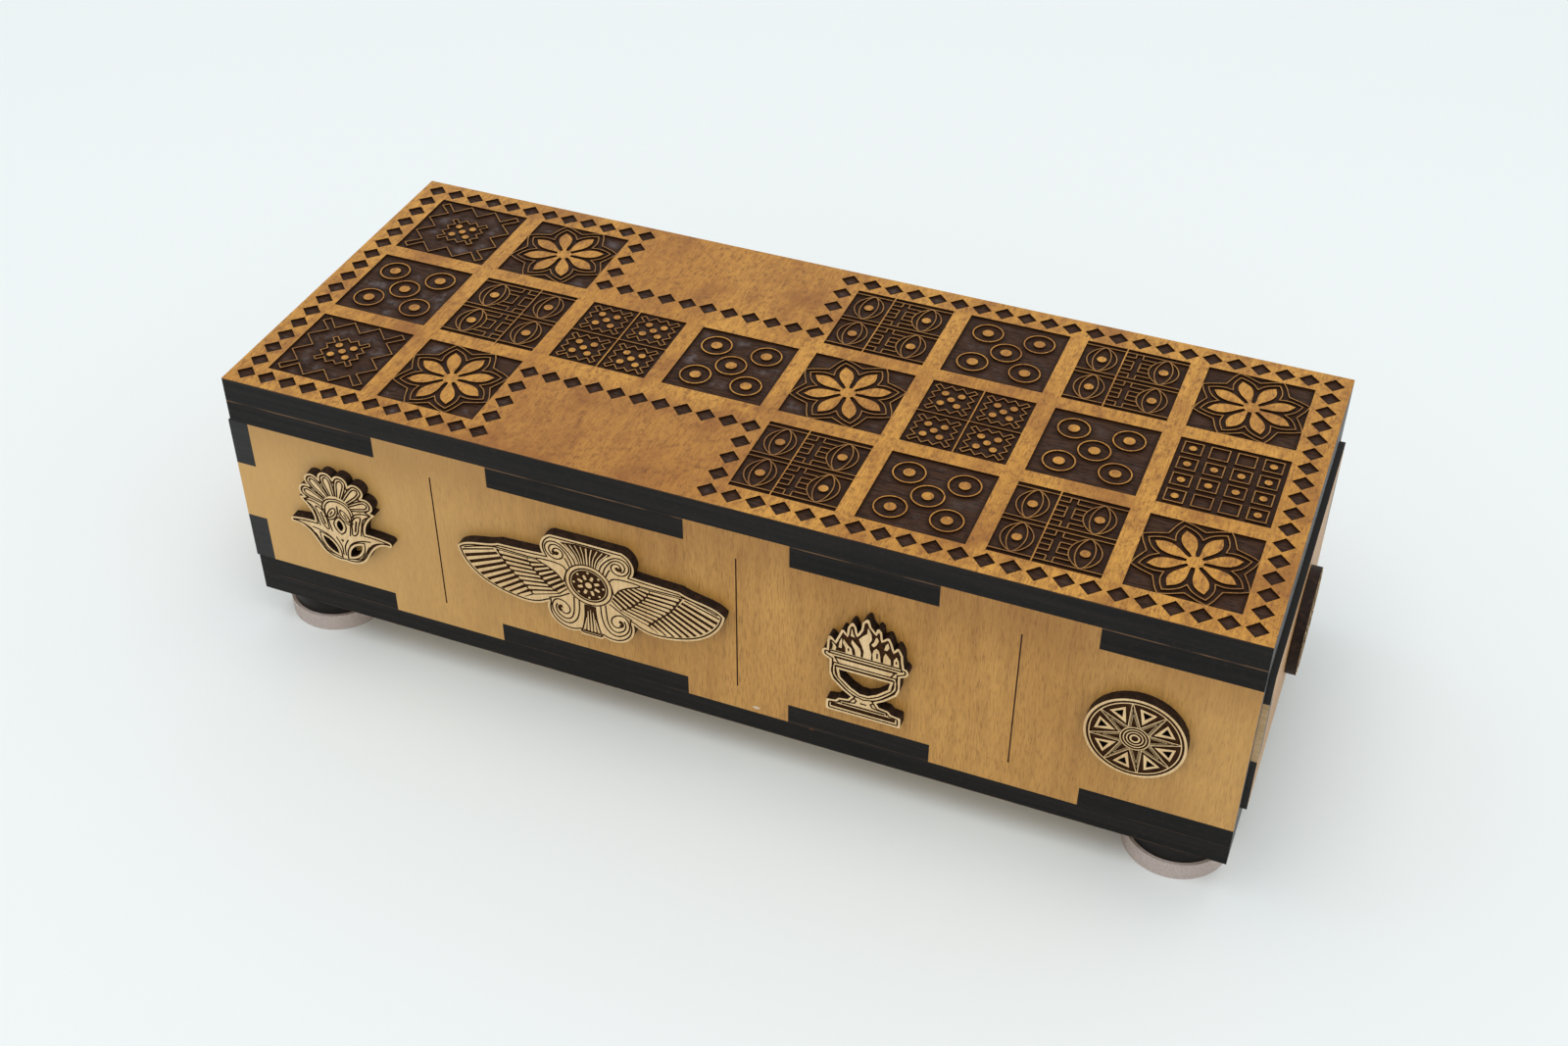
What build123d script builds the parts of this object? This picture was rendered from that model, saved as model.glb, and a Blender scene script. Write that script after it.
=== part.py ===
from build123d import *

import os
from math import asin, degrees

# Game box for the royal game of Ur: an engraved board on a finger-jointed plywood case with a drawer.
# Millimetres. X runs along the box towards the drawer end, -Y is the front, +Z is up.
# The origin is the bottom centre of the whole part, on the surface that it stands on.

# Board squares
square = 28.4
square_gap = 5.0
border_x = 8.9
border_y = 8.6
columns = 8
rows = 3
bridge_first_column = 2
bridge_last_column = 3
engraving_depth = 0.5

# Chain of diamonds around the squares
diamond_diagonal = 5.0
chain_inset = 4.7
chain_gap = 3.9
left_block_count = 12
right_block_count = 22
bridge_count = 11
end_count = 17
step_count = 5

# Motifs in the squares
line_w = 0.5
ring_r = 4.4
ring_spread = 7.3
dot_r = 1.5
small_dot_r = 1.0
petal_length = 9.6
petal_w = 3.4
hub_r = 1.7
eye_h = 11.6
eye_w = 5.6
eye_spread = 17.0
eye_rail_x = 2.8
quadrant_dot_spread = 2.3
quadrant_margin = 0.6
quadrant_teeth = 6
outer_teeth = 5
cell_side = 5.2
cell_margin = 0.9

# Sheet thicknesses of the case, from the base up, and the height between the two jointed layers
base_t = 6.0
floor_t = 6.2
field_h = 47.7
deck_t = 6.7
board_t = 7.2
wall_t = 6.0

# Finger joints of the case: middles of the long tabs as shares of the board's length, and their widths
long_tab_places = (0.219, 0.529, 0.790)
long_tab_widths = (33.6, 28.6, 39.6)
corner_tab_low = 14.8
corner_tab_high = 33.2
corner_proud = 0.7
end_tab_w = 38.0

# Scored lines on the long panels
score_places = (0.2177, 0.5288, 0.7939)
score_w = 0.4
score_depth = 0.4
score_margin = 1.8

# Feet
disc_r = 13.1
disc_t = 6.0
pad_r = 14.0
pad_t = 5.3
foot_inset_x = 14.8
foot_inset_y = 14.3

# Drawer
drawer_proud = 1.6
drawer_front_t = 6.0
drawer_side_t = 6.0
drawer_side_gap = 1.3
drawer_top_gap = 1.4
drawer_slide_gap = 0.3
drawer_front_lift = 1.2
drawer_rear_gap = 3.5
drawer_tab_low = 17.9
drawer_tab_high = 37.3
thin_ply_t = 3.0
divider_drop = 7.0
inner_tab_lift = 14.0
inner_tab_h = 14.0
bottom_tab_w = 32.0
bottom_tab_places = (0.18, 0.82)

# Ornaments: place along the board as a share of its length, and height of the outline's origin over the floor
ornament_t = 2.9
lotus_place = (0.1143, 10.0)
winged_disc_place = (0.3836, 25.9)
fire_altar_place = (0.6574, 5.9)
star_disc_place = (0.9036, 24.9)

# Lotus: the right half of its two leaves, then petals as turns from upright and reaches from the hub
lotus_leaf_low = ((0, 0), (3.9, 0.2), (6.4, 1.7), (8.2, 4.4), (10.0, 7.2), (12.0, 9.0), (15.2, 9.6))
lotus_leaf_tip = ((15.2, 9.6), (15.9, 10.5), (15.0, 11.5))
lotus_leaf_high = ((15.0, 11.5), (11.3, 12.0), (8.0, 12.1))
lotus_sepal = ((8.0, 12.1), (8.5, 15.2), (10.0, 17.7), (11.8, 19.8))
lotus_petals = ((13, 12.3), (40, 12.8), (67, 12.2))
lotus_hub_y = 18.4
lotus_hub_r = 8.0
lotus_petal_w = 4.8
lotus_drop_l = 6.9
lotus_drop_w = 2.5
lotus_drop_x = 4.0
lotus_drop_y = 4.9
lotus_drop_turn = 51
lotus_eye_l = 3.9
lotus_eye_w = 2.0
lotus_eye_y = 12.7

# Winged disc: the right half of its outline, from the crest round the wing to the tail
disc_crest = ((0, 14.3), (10.2, 14.2))
disc_scroll_high = ((10.2, 14.2), (12.8, 11.9), (12.8, 6.9))
wing_high = ((12.8, 6.9), (19.5, 6.5), (26.2, 6.2))
wing_end = ((26.2, 6.2), (28.6, 5.3), (33.2, 4.3), (36.6, 3.2), (38.6, 1.7))
wing_low = ((38.6, 1.7), (37.4, -2.2), (32.1, -8.1), (22.9, -11.4), (19.0, -11.8), (12.4, -9.6))
disc_scroll_low = ((12.4, -9.6), (11.4, -15.3), (3.6, -17.2))
disc_tail = ((3.6, -17.2), (3.0, -18.1), (0, -18.1))

# Fire altar: the right half of its foot and bowl and of the opening in it, and the whole line of flames
altar_foot = ((0, 0), (10.1, 0), (10.1, 3.5), (7.5, 3.9), (6.7, 4.9), (4.2, 5.3), (3.4, 6.5))
altar_bowl = ((3.4, 6.5), (5.6, 8.0), (8.7, 11.0), (9.4, 13.0), (9.4, 17.6), (10.8, 18.3))
altar_rim = ((10.8, 18.3), (11.5, 19.6), (10.8, 21.0))
altar_opening = ((0, 14.9), (6.9, 14.9), (6.4, 12.4), (3.4, 9.6), (1.1, 8.3), (0, 8.3))
altar_flames = (
    (-10.2, 20.6), (-10.1, 23.7), (-9.7, 26.1), (-8.0, 24.3), (-6.9, 27.2), (-6.2, 29.3), (-5.0, 27.5),
    (-4.8, 30.0), (-3.6, 32.3), (-2.6, 30.6), (-2.2, 28.4), (-1.3, 30.3), (-1.0, 32.8), (0.5, 34.8),
    (1.3, 32.0), (2.5, 30.5), (3.0, 32.6), (4.1, 31.2), (4.4, 28.7), (6.0, 30.2), (6.9, 28.2),
    (7.5, 26.1), (8.5, 27.8), (9.8, 25.2), (10.0, 22.7), (10.4, 20.6),
)
altar_round = 0.5

# Star discs, with their holes as shares of the radius
star_r = 12.7
pull_r = 14.4
star_hole_ring = 0.67
star_hole_size = 0.115
star_turn = 31.5

# Playing pieces and dice
piece_r = 10.0
piece_t = 5.0
piece_edge = 0.6
piece_ring = 23.0
dark_turn = 17
light_turn = 41
pit_r = 1.1
pit_depth = 0.4
pit_spread = 3.4
die_edge = 17.0
die_tip = 2.4
die_round = 0.5
die_spread = 30.0
die_turns = (20, 75, 130, 5)

# Outline of the board
board_length = columns * square + (columns - 1) * square_gap + 2 * border_x
board_width = rows * square + (rows - 1) * square_gap + 2 * border_y
pitch = square + square_gap
x_left = -(board_length + drawer_proud + ornament_t - corner_proud) / 2
x_right = x_left + board_length
y_front = -board_width / 2
y_back = board_width / 2

# Levels, from the surface that the feet stand on
z_base = pad_t + disc_t
z_floor = z_base + base_t
z_field = z_floor + floor_t
z_deck = z_field + field_h
z_board = z_deck + deck_t
z_top = z_board + board_t
z_middle = (z_field + z_deck) / 2

# Corner of the case and outside of the drawer
x_corner = x_left - corner_proud
x_inside = x_corner + wall_t
x_drawer_back = x_inside + drawer_rear_gap
x_face = x_right + drawer_proud
x_face_inside = x_face - drawer_front_t
y_drawer = board_width / 2 - wall_t - drawer_side_gap
z_drawer = z_field + drawer_slide_gap
z_rim = z_deck - drawer_top_gap
z_front_low = z_field + drawer_front_lift
z_front_middle = (z_front_low + z_rim) / 2

# Inside of the drawer, with three compartments of one length
y_drawer_inside = y_drawer - drawer_side_t
z_drawer_inside = z_drawer + thin_ply_t
z_tab_low = z_drawer_inside + inner_tab_lift
z_tab_high = z_tab_low + inner_tab_h
x_drawer_inside = x_drawer_back + drawer_side_t
compartment = (x_face_inside - x_drawer_inside - 2 * thin_ply_t) / 3
divider_starts = [x_drawer_inside + compartment, x_drawer_inside + 2 * compartment + thin_ply_t]
compartment_xs = [x_drawer_inside + compartment / 2 + i * (compartment + thin_ply_t) for i in range(3)]

long_tabs = [(x_left + place * board_length, width) for place, width in zip(long_tab_places, long_tab_widths)]
bottom_tabs = [x_drawer_back + place * (x_face_inside - x_drawer_back) for place in bottom_tab_places]


def rectangle_between(x0, y0, x1, y1, mode=Mode.ADD):
    """A rectangle given by two opposite corners."""
    with Locations(((x0 + x1) / 2, (y0 + y1) / 2)):
        Rectangle(abs(x1 - x0), abs(y1 - y0), mode=mode)


def evenly(first, last, count):
    """Places from first to last, both included."""
    return [first + (last - first) * i / (count - 1) for i in range(count)]


def column_x(column):
    """Middle of a column of squares, counted from the left end."""
    return x_left + border_x + square / 2 + column * pitch


def row_y(row):
    """Middle of a row of squares, counted from the front."""
    return y_front + border_y + square / 2 + row * pitch


def chain_points():
    """Middles of the diamonds: round both blocks of squares, along the bridge and in the steps into it."""
    west = x_left + chain_inset
    east = x_right - chain_inset
    south = y_front + chain_inset
    north = y_back - chain_inset
    step_west = column_x(bridge_first_column - 1) + square / 2 + chain_gap
    step_east = column_x(bridge_last_column + 1) - square / 2 - chain_gap
    bridge_south = row_y(0) + square / 2 - chain_gap
    bridge_north = row_y(rows - 1) - square / 2 + chain_gap
    points = []
    for edge, bridge in ((south, bridge_south), (north, bridge_north)):
        points += [(x, edge) for x in evenly(west, step_west, left_block_count)]
        points += [(x, edge) for x in evenly(step_east, east, right_block_count)]
        points += [(x, bridge) for x in evenly(step_west, step_east, bridge_count)]
        for x in (step_west, step_east):
            points += [(x, y) for y in evenly(edge, bridge, step_count)[1:-1]]
    for x in (west, east):
        points += [(x, y) for y in evenly(south, north, end_count)[1:-1]]
    return points


def leaf(length, width):
    """A pointed leaf along X, centred, between two arcs."""
    with BuildSketch() as shape:
        with BuildLine():
            ThreePointArc((-length / 2, 0), (0, width / 2), (length / 2, 0))
            ThreePointArc((length / 2, 0), (0, -width / 2), (-length / 2, 0))
        make_face()
    return shape.sketch


def zigzag_band(half, teeth):
    """A closed band of teeth along the four sides of a square of the given half side."""
    corners = [Vector(-half, -half), Vector(half, -half), Vector(half, half), Vector(-half, half)]
    points = []
    for start, end in zip(corners, corners[1:] + corners[:1]):
        along = end - start
        inward = Vector(-along.Y, along.X).normalized() * (along.length / teeth / 2)
        for i in range(1, teeth):
            points.append(start + along * ((i - 0.5) / teeth) + inward)
            points.append(start + along * (i / teeth))
    with BuildSketch() as band:
        with BuildLine():
            Polyline(*points, close=True)
        make_face()
        offset(amount=-line_w, kind=Kind.INTERSECTION, mode=Mode.SUBTRACT)
    return band.sketch


def corners_and_middle(spread):
    """The middle and the four corners of a square, as points."""
    return [(0, 0)] + [(x, y) for x in (-spread, spread) for y in (-spread, spread)]


def rosette():
    """Eight petals joined by a hub."""
    with BuildSketch() as motif:
        Circle(hub_r)
        with PolarLocations(hub_r + petal_length / 2 - line_w, 8, start_angle=22.5):
            add(leaf(petal_length, petal_w))
    return motif.sketch


def five_rings():
    """Five rings, each round a dot."""
    with BuildSketch() as motif:
        with Locations(*corners_and_middle(ring_spread)):
            Circle(ring_r)
            Circle(ring_r - line_w, mode=Mode.SUBTRACT)
            Circle(dot_r)
    return motif.sketch


def eyes(rail_x):
    """Four upright eyes, parted by a level rail and by an upright one off the middle."""
    with BuildSketch() as motif:
        with GridLocations(eye_spread, square / 2, 2, 2):
            add(leaf(eye_h, eye_w), rotation=90)
            add(leaf(eye_h - 4 * line_w, eye_w - 2 * line_w), rotation=90, mode=Mode.SUBTRACT)
            Circle(small_dot_r)
        Rectangle(square, line_w)
        with Locations((rail_x, 0)):
            Rectangle(line_w, square)
    return motif.sketch


def quadrants():
    """A cross that parts four zigzag frames with five dots each."""
    half = square / 4 - line_w / 2 - quadrant_margin
    with BuildSketch() as group:
        add(zigzag_band(half, quadrant_teeth))
        with Locations(*corners_and_middle(quadrant_dot_spread)):
            Circle(small_dot_r)
    with BuildSketch() as motif:
        Rectangle(square, line_w)
        Rectangle(line_w, square)
        with GridLocations(square / 2, square / 2, 2, 2):
            add(group.sketch)
    return motif.sketch


def cells():
    """Sixteen framed cells, with a dot in all but the middle two of the first and last row."""
    step = (square - cell_margin) / 4
    with BuildSketch() as motif:
        with GridLocations(step, step, 4, 4):
            Rectangle(cell_side, cell_side)
            Rectangle(cell_side - 2 * line_w, cell_side - 2 * line_w, mode=Mode.SUBTRACT)
        with GridLocations(step, step, 4, 2):
            Circle(small_dot_r)
        with GridLocations(3 * step, 3 * step, 2, 2):
            Circle(small_dot_r)
    return motif.sketch


def zigzags():
    """A large zigzag band round a small one with five dots."""
    with BuildSketch() as motif:
        add(zigzag_band(square / 2 - line_w, outer_teeth))
        add(zigzag_band(square / 5, quadrant_teeth))
        with Locations(*corners_and_middle(quadrant_dot_spread)):
            Circle(small_dot_r)
    return motif.sketch


def pocket(motif):
    """The sunk part of a square: all of it but the motif."""
    with BuildSketch() as field:
        Rectangle(square, square)
        add(motif, mode=Mode.SUBTRACT)
    return field.sketch


# Motifs of the squares, from the left end
pockets = {
    "zigzags": pocket(zigzags()),
    "rosette": pocket(rosette()),
    "eyes_left_rail": pocket(eyes(-eye_rail_x)),
    "eyes_right_rail": pocket(eyes(eye_rail_x)),
    "rings": pocket(five_rings()),
    "quadrants": pocket(quadrants()),
    "cells": pocket(cells()),
}
outer_row = ("zigzags", "rosette", None, None, "eyes_left_rail", "rings", "eyes_left_rail", "rosette")
middle_row = ("rings", "eyes_right_rail", "quadrants", "rings", "rosette", "quadrants", "rings", "cells")

# Board, with sunk squares and sunk diamonds
with BuildPart() as board_top:
    with BuildSketch(Plane.XY.offset(z_board)):
        rectangle_between(x_left, y_front, x_right, y_back)
    extrude(amount=board_t)
    with BuildSketch(Plane.XY.offset(z_top)):
        with Locations(*chain_points()):
            RegularPolygon(diamond_diagonal / 2, 4)
    for row, names in enumerate((outer_row, middle_row, outer_row)):
        for column, name in enumerate(names):
            if name:
                with BuildSketch(Plane((column_x(column), row_y(row), z_top))):
                    add(pockets[name])
    extrude(amount=-engraving_depth, mode=Mode.SUBTRACT)


def case_layer(z, thickness):
    """A layer of the case, notched where the tabs of the panels pass."""
    with BuildPart() as layer:
        with BuildSketch(Plane.XY.offset(z)):
            rectangle_between(x_left, y_front, x_right, y_back)
            for x, width in long_tabs:
                rectangle_between(x - width / 2, y_front, x + width / 2, y_front + wall_t, Mode.SUBTRACT)
                rectangle_between(x - width / 2, y_back - wall_t, x + width / 2, y_back, Mode.SUBTRACT)
            rectangle_between(x_left, -end_tab_w / 2, x_inside, end_tab_w / 2, Mode.SUBTRACT)
        extrude(amount=thickness)
    return layer


top_deck = case_layer(z_deck, deck_t)
floor_panel = case_layer(z_floor, floor_t)

with BuildPart() as base_plate:
    with BuildSketch(Plane.XY.offset(z_base)):
        rectangle_between(x_left, y_front, x_right, y_back)
    extrude(amount=base_t)


def long_panel(y_outside, inward):
    """The front or back panel: a field, tabs through both layers, one corner tab and three scored lines."""
    outside = Plane.XZ.offset(-y_outside)
    with BuildPart() as panel:
        with BuildSketch(outside):
            rectangle_between(x_inside, z_field, x_right, z_deck)
            rectangle_between(x_corner, z_field + corner_tab_low, x_inside, z_field + corner_tab_high)
            for x, width in long_tabs:
                rectangle_between(x - width / 2, z_floor, x + width / 2, z_board)
        extrude(amount=-inward * wall_t)
        with BuildSketch(outside):
            for place in score_places:
                with Locations((x_left + place * board_length, z_middle)):
                    Rectangle(score_w, field_h - 2 * score_margin)
        extrude(amount=-inward * score_depth, mode=Mode.SUBTRACT)
    return panel


front_panel = long_panel(y_front, 1)
back_panel = long_panel(y_back, -1)

# Left end panel, with two fingers at each corner and a tab through each layer
with BuildPart() as end_panel:
    with BuildSketch(Plane.YZ.offset(x_corner)):
        rectangle_between(y_front + wall_t, z_field, y_back - wall_t, z_deck)
        rectangle_between(y_front, z_field, y_back, z_field + corner_tab_low)
        rectangle_between(y_front, z_field + corner_tab_high, y_back, z_deck)
        rectangle_between(-end_tab_w / 2, z_floor, end_tab_w / 2, z_board)
    extrude(amount=wall_t)


def foot_layer(x, y, z, radius, thickness):
    """A round layer of a foot."""
    with BuildPart() as layer:
        with BuildSketch(Plane((x, y, z))):
            Circle(radius)
        extrude(amount=thickness)
    return layer


foot_x = board_length / 2 - foot_inset_x
foot_y = board_width / 2 - foot_inset_y
x_mid = (x_left + x_right) / 2
foot_points = [(x_mid + way_x * foot_x, way_y * foot_y) for way_x in (-1, 1) for way_y in (-1, 1)]
foot_discs = [foot_layer(x, y, pad_t, disc_r, disc_t) for x, y in foot_points]
foot_pads = [foot_layer(x, y, 0, pad_r, pad_t) for x, y in foot_points]

# Drawer front, notched at both ends for the tabs of the drawer sides
with BuildPart() as drawer_front:
    with BuildSketch(Plane.YZ.offset(x_face_inside)):
        rectangle_between(-y_drawer, z_front_low, y_drawer, z_rim)
        z_notch = (z_field + drawer_tab_low, z_field + drawer_tab_high)
        rectangle_between(-y_drawer, z_notch[0], -y_drawer_inside, z_notch[1], Mode.SUBTRACT)
        rectangle_between(y_drawer_inside, z_notch[0], y_drawer, z_notch[1], Mode.SUBTRACT)
    extrude(amount=drawer_front_t)


def drawer_side(y_outside, inward):
    """A drawer side: a tab through the drawer front, and slots for the tabs of the inner pieces."""
    with BuildPart() as panel:
        with BuildSketch(Plane.XZ.offset(-y_outside)):
            rectangle_between(x_drawer_back, z_drawer, x_face_inside, z_rim)
            rectangle_between(x_face_inside, z_field + drawer_tab_low, x_face, z_field + drawer_tab_high)
            rectangle_between(x_drawer_back, z_tab_low, x_drawer_inside, z_tab_high, Mode.SUBTRACT)
            for x in divider_starts:
                rectangle_between(x, z_tab_low, x + thin_ply_t, z_tab_high, Mode.SUBTRACT)
            for x in bottom_tabs:
                with Locations((x, z_drawer + thin_ply_t / 2)):
                    Rectangle(bottom_tab_w, thin_ply_t, mode=Mode.SUBTRACT)
        extrude(amount=-inward * drawer_side_t)
    return panel


drawer_side_front = drawer_side(-y_drawer, 1)
drawer_side_back = drawer_side(y_drawer, -1)

with BuildPart() as drawer_bottom:
    with BuildSketch(Plane.XY.offset(z_drawer)):
        rectangle_between(x_drawer_back, -y_drawer_inside, x_face_inside, y_drawer_inside)
        for x in bottom_tabs:
            with Locations((x, 0)):
                Rectangle(bottom_tab_w, 2 * y_drawer)
    extrude(amount=thin_ply_t)


def drawer_wall(x_start, thickness, z_end):
    """A wall across the drawer, with a tab into the slot of each side."""
    with BuildPart() as wall:
        with BuildSketch(Plane.YZ.offset(x_start)):
            rectangle_between(-y_drawer_inside, z_drawer_inside, y_drawer_inside, z_end)
            rectangle_between(-y_drawer, z_tab_low, y_drawer, z_tab_high)
        extrude(amount=thickness)
    return wall


drawer_back = drawer_wall(x_drawer_back, drawer_side_t, z_rim)
drawer_dividers = [drawer_wall(x, thin_ply_t, z_rim - divider_drop) for x in divider_starts]


def lotus():
    """A lotus on two spread leaves, from the middle of its foot up."""
    with BuildSketch() as outline:
        with BuildLine():
            Spline(*lotus_leaf_low)
            ThreePointArc(*lotus_leaf_tip)
            Spline(*lotus_leaf_high)
            Spline(*lotus_sepal)
            Line(lotus_sepal[-1], (0, lotus_hub_y + lotus_hub_r / 2))
            mirror(about=Plane.YZ)
        make_face()
        with Locations((0, lotus_hub_y)):
            Circle(lotus_hub_r)
        for turn, reach in lotus_petals:
            for way in (-1, 1):
                petal_turn = 90 - way * turn
                middle = Vector(0, lotus_hub_y) + Vector(reach / 2, 0).rotate(Axis.Z, petal_turn)
                with Locations((middle.X, middle.Y)):
                    SlotOverall(reach, lotus_petal_w, rotation=petal_turn)
        for way in (-1, 1):
            with Locations((way * lotus_drop_x, lotus_drop_y)):
                add(leaf(lotus_drop_l, lotus_drop_w), rotation=way * lotus_drop_turn, mode=Mode.SUBTRACT)
        with Locations((0, lotus_eye_y)):
            add(leaf(lotus_eye_l, lotus_eye_w), rotation=90, mode=Mode.SUBTRACT)
    return outline.sketch


def winged_disc():
    """A disc between two wings, with scrolls above and below, from the middle of the disc."""
    with BuildSketch() as outline:
        with BuildLine():
            Line(*disc_crest)
            ThreePointArc(*disc_scroll_high)
            Spline(*wing_high)
            Spline(*wing_end)
            Spline(*wing_low)
            ThreePointArc(*disc_scroll_low)
            Polyline(*disc_tail)
            mirror(about=Plane.YZ)
        make_face()
    return outline.sketch


def fire_altar():
    """Seven flames over a bowl on a stepped foot, from the middle of the foot up, with rounded corners."""
    with BuildSketch() as outline:
        with BuildLine():
            Polyline(*altar_foot)
            Polyline(*altar_bowl)
            ThreePointArc(*altar_rim)
            Line(altar_rim[-1], (0, altar_rim[-1][1]))
            mirror(about=Plane.YZ)
        make_face()
        with BuildLine():
            Polyline(*altar_flames, close=True)
        make_face()
        offset(amount=-altar_round, mode=Mode.REPLACE)
        offset(amount=altar_round, mode=Mode.REPLACE)
        with BuildLine():
            Polyline(*altar_opening)
            mirror(about=Plane.YZ)
        make_face(mode=Mode.SUBTRACT)
    return outline.sketch


def star_disc(radius):
    """A disc with eight small triangular holes between the points of a star."""
    with BuildSketch() as outline:
        Circle(radius)
        with PolarLocations(radius * star_hole_ring, 8, start_angle=star_turn):
            RegularPolygon(radius * star_hole_size, 3, rotation=180, mode=Mode.SUBTRACT)
    return outline.sketch


def glued_ornament(outline, face):
    """An ornament cut from thin ply, glued on a face of the box."""
    with BuildPart() as ornament:
        with BuildSketch(face):
            add(outline)
        extrude(amount=ornament_t)
    return ornament


ornaments = {}
for name, outline, (share, lift) in (
    ("lotus", lotus(), lotus_place),
    ("winged_disc", winged_disc(), winged_disc_place),
    ("fire_altar", fire_altar(), fire_altar_place),
    ("star_disc", star_disc(star_r), star_disc_place),
):
    x = x_left + share * board_length
    z = z_field + lift
    front_face = Plane(origin=(x, y_front, z), x_dir=(1, 0, 0), z_dir=(0, -1, 0))
    back_face = Plane(origin=(x, y_back, z), x_dir=(-1, 0, 0), z_dir=(0, 1, 0))
    ornaments[f"front_{name}"] = glued_ornament(outline, front_face)
    ornaments[f"back_{name}"] = glued_ornament(outline, back_face)

drawer_face = Plane(origin=(x_face, 0, z_front_middle), x_dir=(0, 1, 0), z_dir=(1, 0, 0))
drawer_pull = glued_ornament(star_disc(pull_r), drawer_face)


def playing_piece(x, y):
    """A round piece with chamfered edges and five pits on its top."""
    with BuildPart() as piece:
        with BuildSketch(Plane((x, y, z_drawer_inside))):
            Circle(piece_r)
        extrude(amount=piece_t)
        chamfer(piece.edges(), piece_edge)
        with BuildSketch(Plane((x, y, z_drawer_inside + piece_t))):
            with Locations(*corners_and_middle(pit_spread)):
                Circle(pit_r)
        extrude(amount=-pit_depth, mode=Mode.SUBTRACT)
    return piece


def die(x, y, turn):
    """A pyramid with four equal faces and a blunt tip."""
    height = (die_edge - die_tip) * (2 / 3) ** 0.5
    slope = degrees(asin(1 / 3))
    with BuildPart() as pyramid:
        with BuildSketch(Plane((x, y, z_drawer_inside))):
            RegularPolygon(die_edge / 3 ** 0.5, 3, rotation=turn)
        extrude(amount=height, taper=slope)
        fillet(pyramid.edges(), die_round)
    return pyramid


def ring_points(x_middle, turn):
    """Places of seven pieces in a compartment: one in the middle and six round it."""
    middle = Vector(x_middle, 0)
    around = [middle + Vector(piece_ring, 0).rotate(Axis.Z, turn + 60 * i) for i in range(6)]
    return [(point.X, point.Y) for point in [middle, *around]]


dark_pieces = [playing_piece(x, y) for x, y in ring_points(compartment_xs[0], dark_turn)]
light_pieces = [playing_piece(x, y) for x, y in ring_points(compartment_xs[2], light_turn)]
die_corners = [(way_x * die_spread / 2, way_y * die_spread / 2) for way_x in (-1, 1) for way_y in (-1, 1)]
dice = [die(compartment_xs[1] + x, y, turn) for (x, y), turn in zip(die_corners, die_turns)]

pieces = {
    "board_top": board_top,
    "top_deck": top_deck,
    "front_panel": front_panel,
    "back_panel": back_panel,
    "end_panel": end_panel,
    "floor_panel": floor_panel,
    "base_plate": base_plate,
    "drawer_front": drawer_front,
    "drawer_side_front": drawer_side_front,
    "drawer_side_back": drawer_side_back,
    "drawer_back": drawer_back,
    "drawer_bottom": drawer_bottom,
    "drawer_pull": drawer_pull,
    **ornaments,
}
groups = {
    "foot_disc": foot_discs,
    "foot_pad": foot_pads,
    "drawer_divider": drawer_dividers,
    "dark_piece": dark_pieces,
    "light_piece": light_pieces,
    "die": dice,
}
for name, group in groups.items():
    for number, piece in enumerate(group, 1):
        pieces[f"{name}_{number}"] = piece

os.makedirs("parts", exist_ok=True)
for name, piece in pieces.items():
    piece.part.label = name
    export_step(piece.part, f"parts/{name}.step")
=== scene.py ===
import math

import bpy
from mathutils import Euler, Matrix, Vector
from mathutils.geometry import delaunay_2d_cdt
from mathutils.kdtree import KDTree


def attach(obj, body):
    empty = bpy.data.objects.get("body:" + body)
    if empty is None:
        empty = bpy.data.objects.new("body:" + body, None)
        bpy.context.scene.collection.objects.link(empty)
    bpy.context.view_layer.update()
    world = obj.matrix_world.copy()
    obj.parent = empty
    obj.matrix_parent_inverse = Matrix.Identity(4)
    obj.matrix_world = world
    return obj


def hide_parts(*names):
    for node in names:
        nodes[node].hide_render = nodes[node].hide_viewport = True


# Looks of the game box for the royal game of Ur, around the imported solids.
# Lengths are in millimetres until a mesh is made, which is in metres.

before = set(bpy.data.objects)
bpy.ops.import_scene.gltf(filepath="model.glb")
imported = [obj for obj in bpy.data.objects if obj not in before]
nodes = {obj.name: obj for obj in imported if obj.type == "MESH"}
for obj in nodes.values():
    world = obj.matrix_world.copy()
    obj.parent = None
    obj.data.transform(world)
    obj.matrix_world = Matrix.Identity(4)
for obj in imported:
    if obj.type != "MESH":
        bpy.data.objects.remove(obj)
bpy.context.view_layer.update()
mm = 0.001

# Board, as in the solids
x_left = -141.9
x_right = 138.1
y_front = -56.2
y_back = 56.2
z_board = 77.9
z_top = 85.1
square = 28.4
pitch = 33.4
border_x = 8.9
border_y = 8.6
engraving_depth = 0.5
diamond_r = 2.85
chain_inset = 4.7
chain_gap = 3.9

# Diamonds in the chain beside the left and the right block, along the bridge, in a step and at an end
chain_left, chain_right, chain_bridge, chain_step, chain_end = 12, 22, 11, 5, 17

# Light lines of the motifs: most of them, and the rings and upright rails
fine_w = 0.3
ring_w = 0.36

# Motifs, from the middle of a square
ring_spread = 7.3
ring_r = 4.15
ring_dot_r = 1.55
hub_r = 2.1
small_dot_r = 1.0
small_frame_spread = 2.25
quadrant_places = [(u, v) for u in (-7.15, 7.15) for v in (-7.2, 7.2)]
cell_half = 2.4
cell_reach = 10.3
level_rails = (-12.7, -0.85, 0.85, 12.7)
upright_rail = -3.0
stile_near, stile_far = -0.15, 1.75
stile_spans = ((-5.9, -3.9), (-2.05, 2.05), (3.9, 5.9))
all_rungs = (-3.9, -2.05, 0, 2.05, 3.9)
outer_rungs = (-3.9, -2.05, 2.05, 3.9)
eye_rows = (-6.8, 6.8)
eye_columns = (-8.55, 8.4)
eye_arcs = ((4.0, 5.75), (2.3, 5.9))
eye_dot_r = 1.3
eye_fullness = 0.75
rung_end, rung_bulge = 4.35, 0.075

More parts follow.
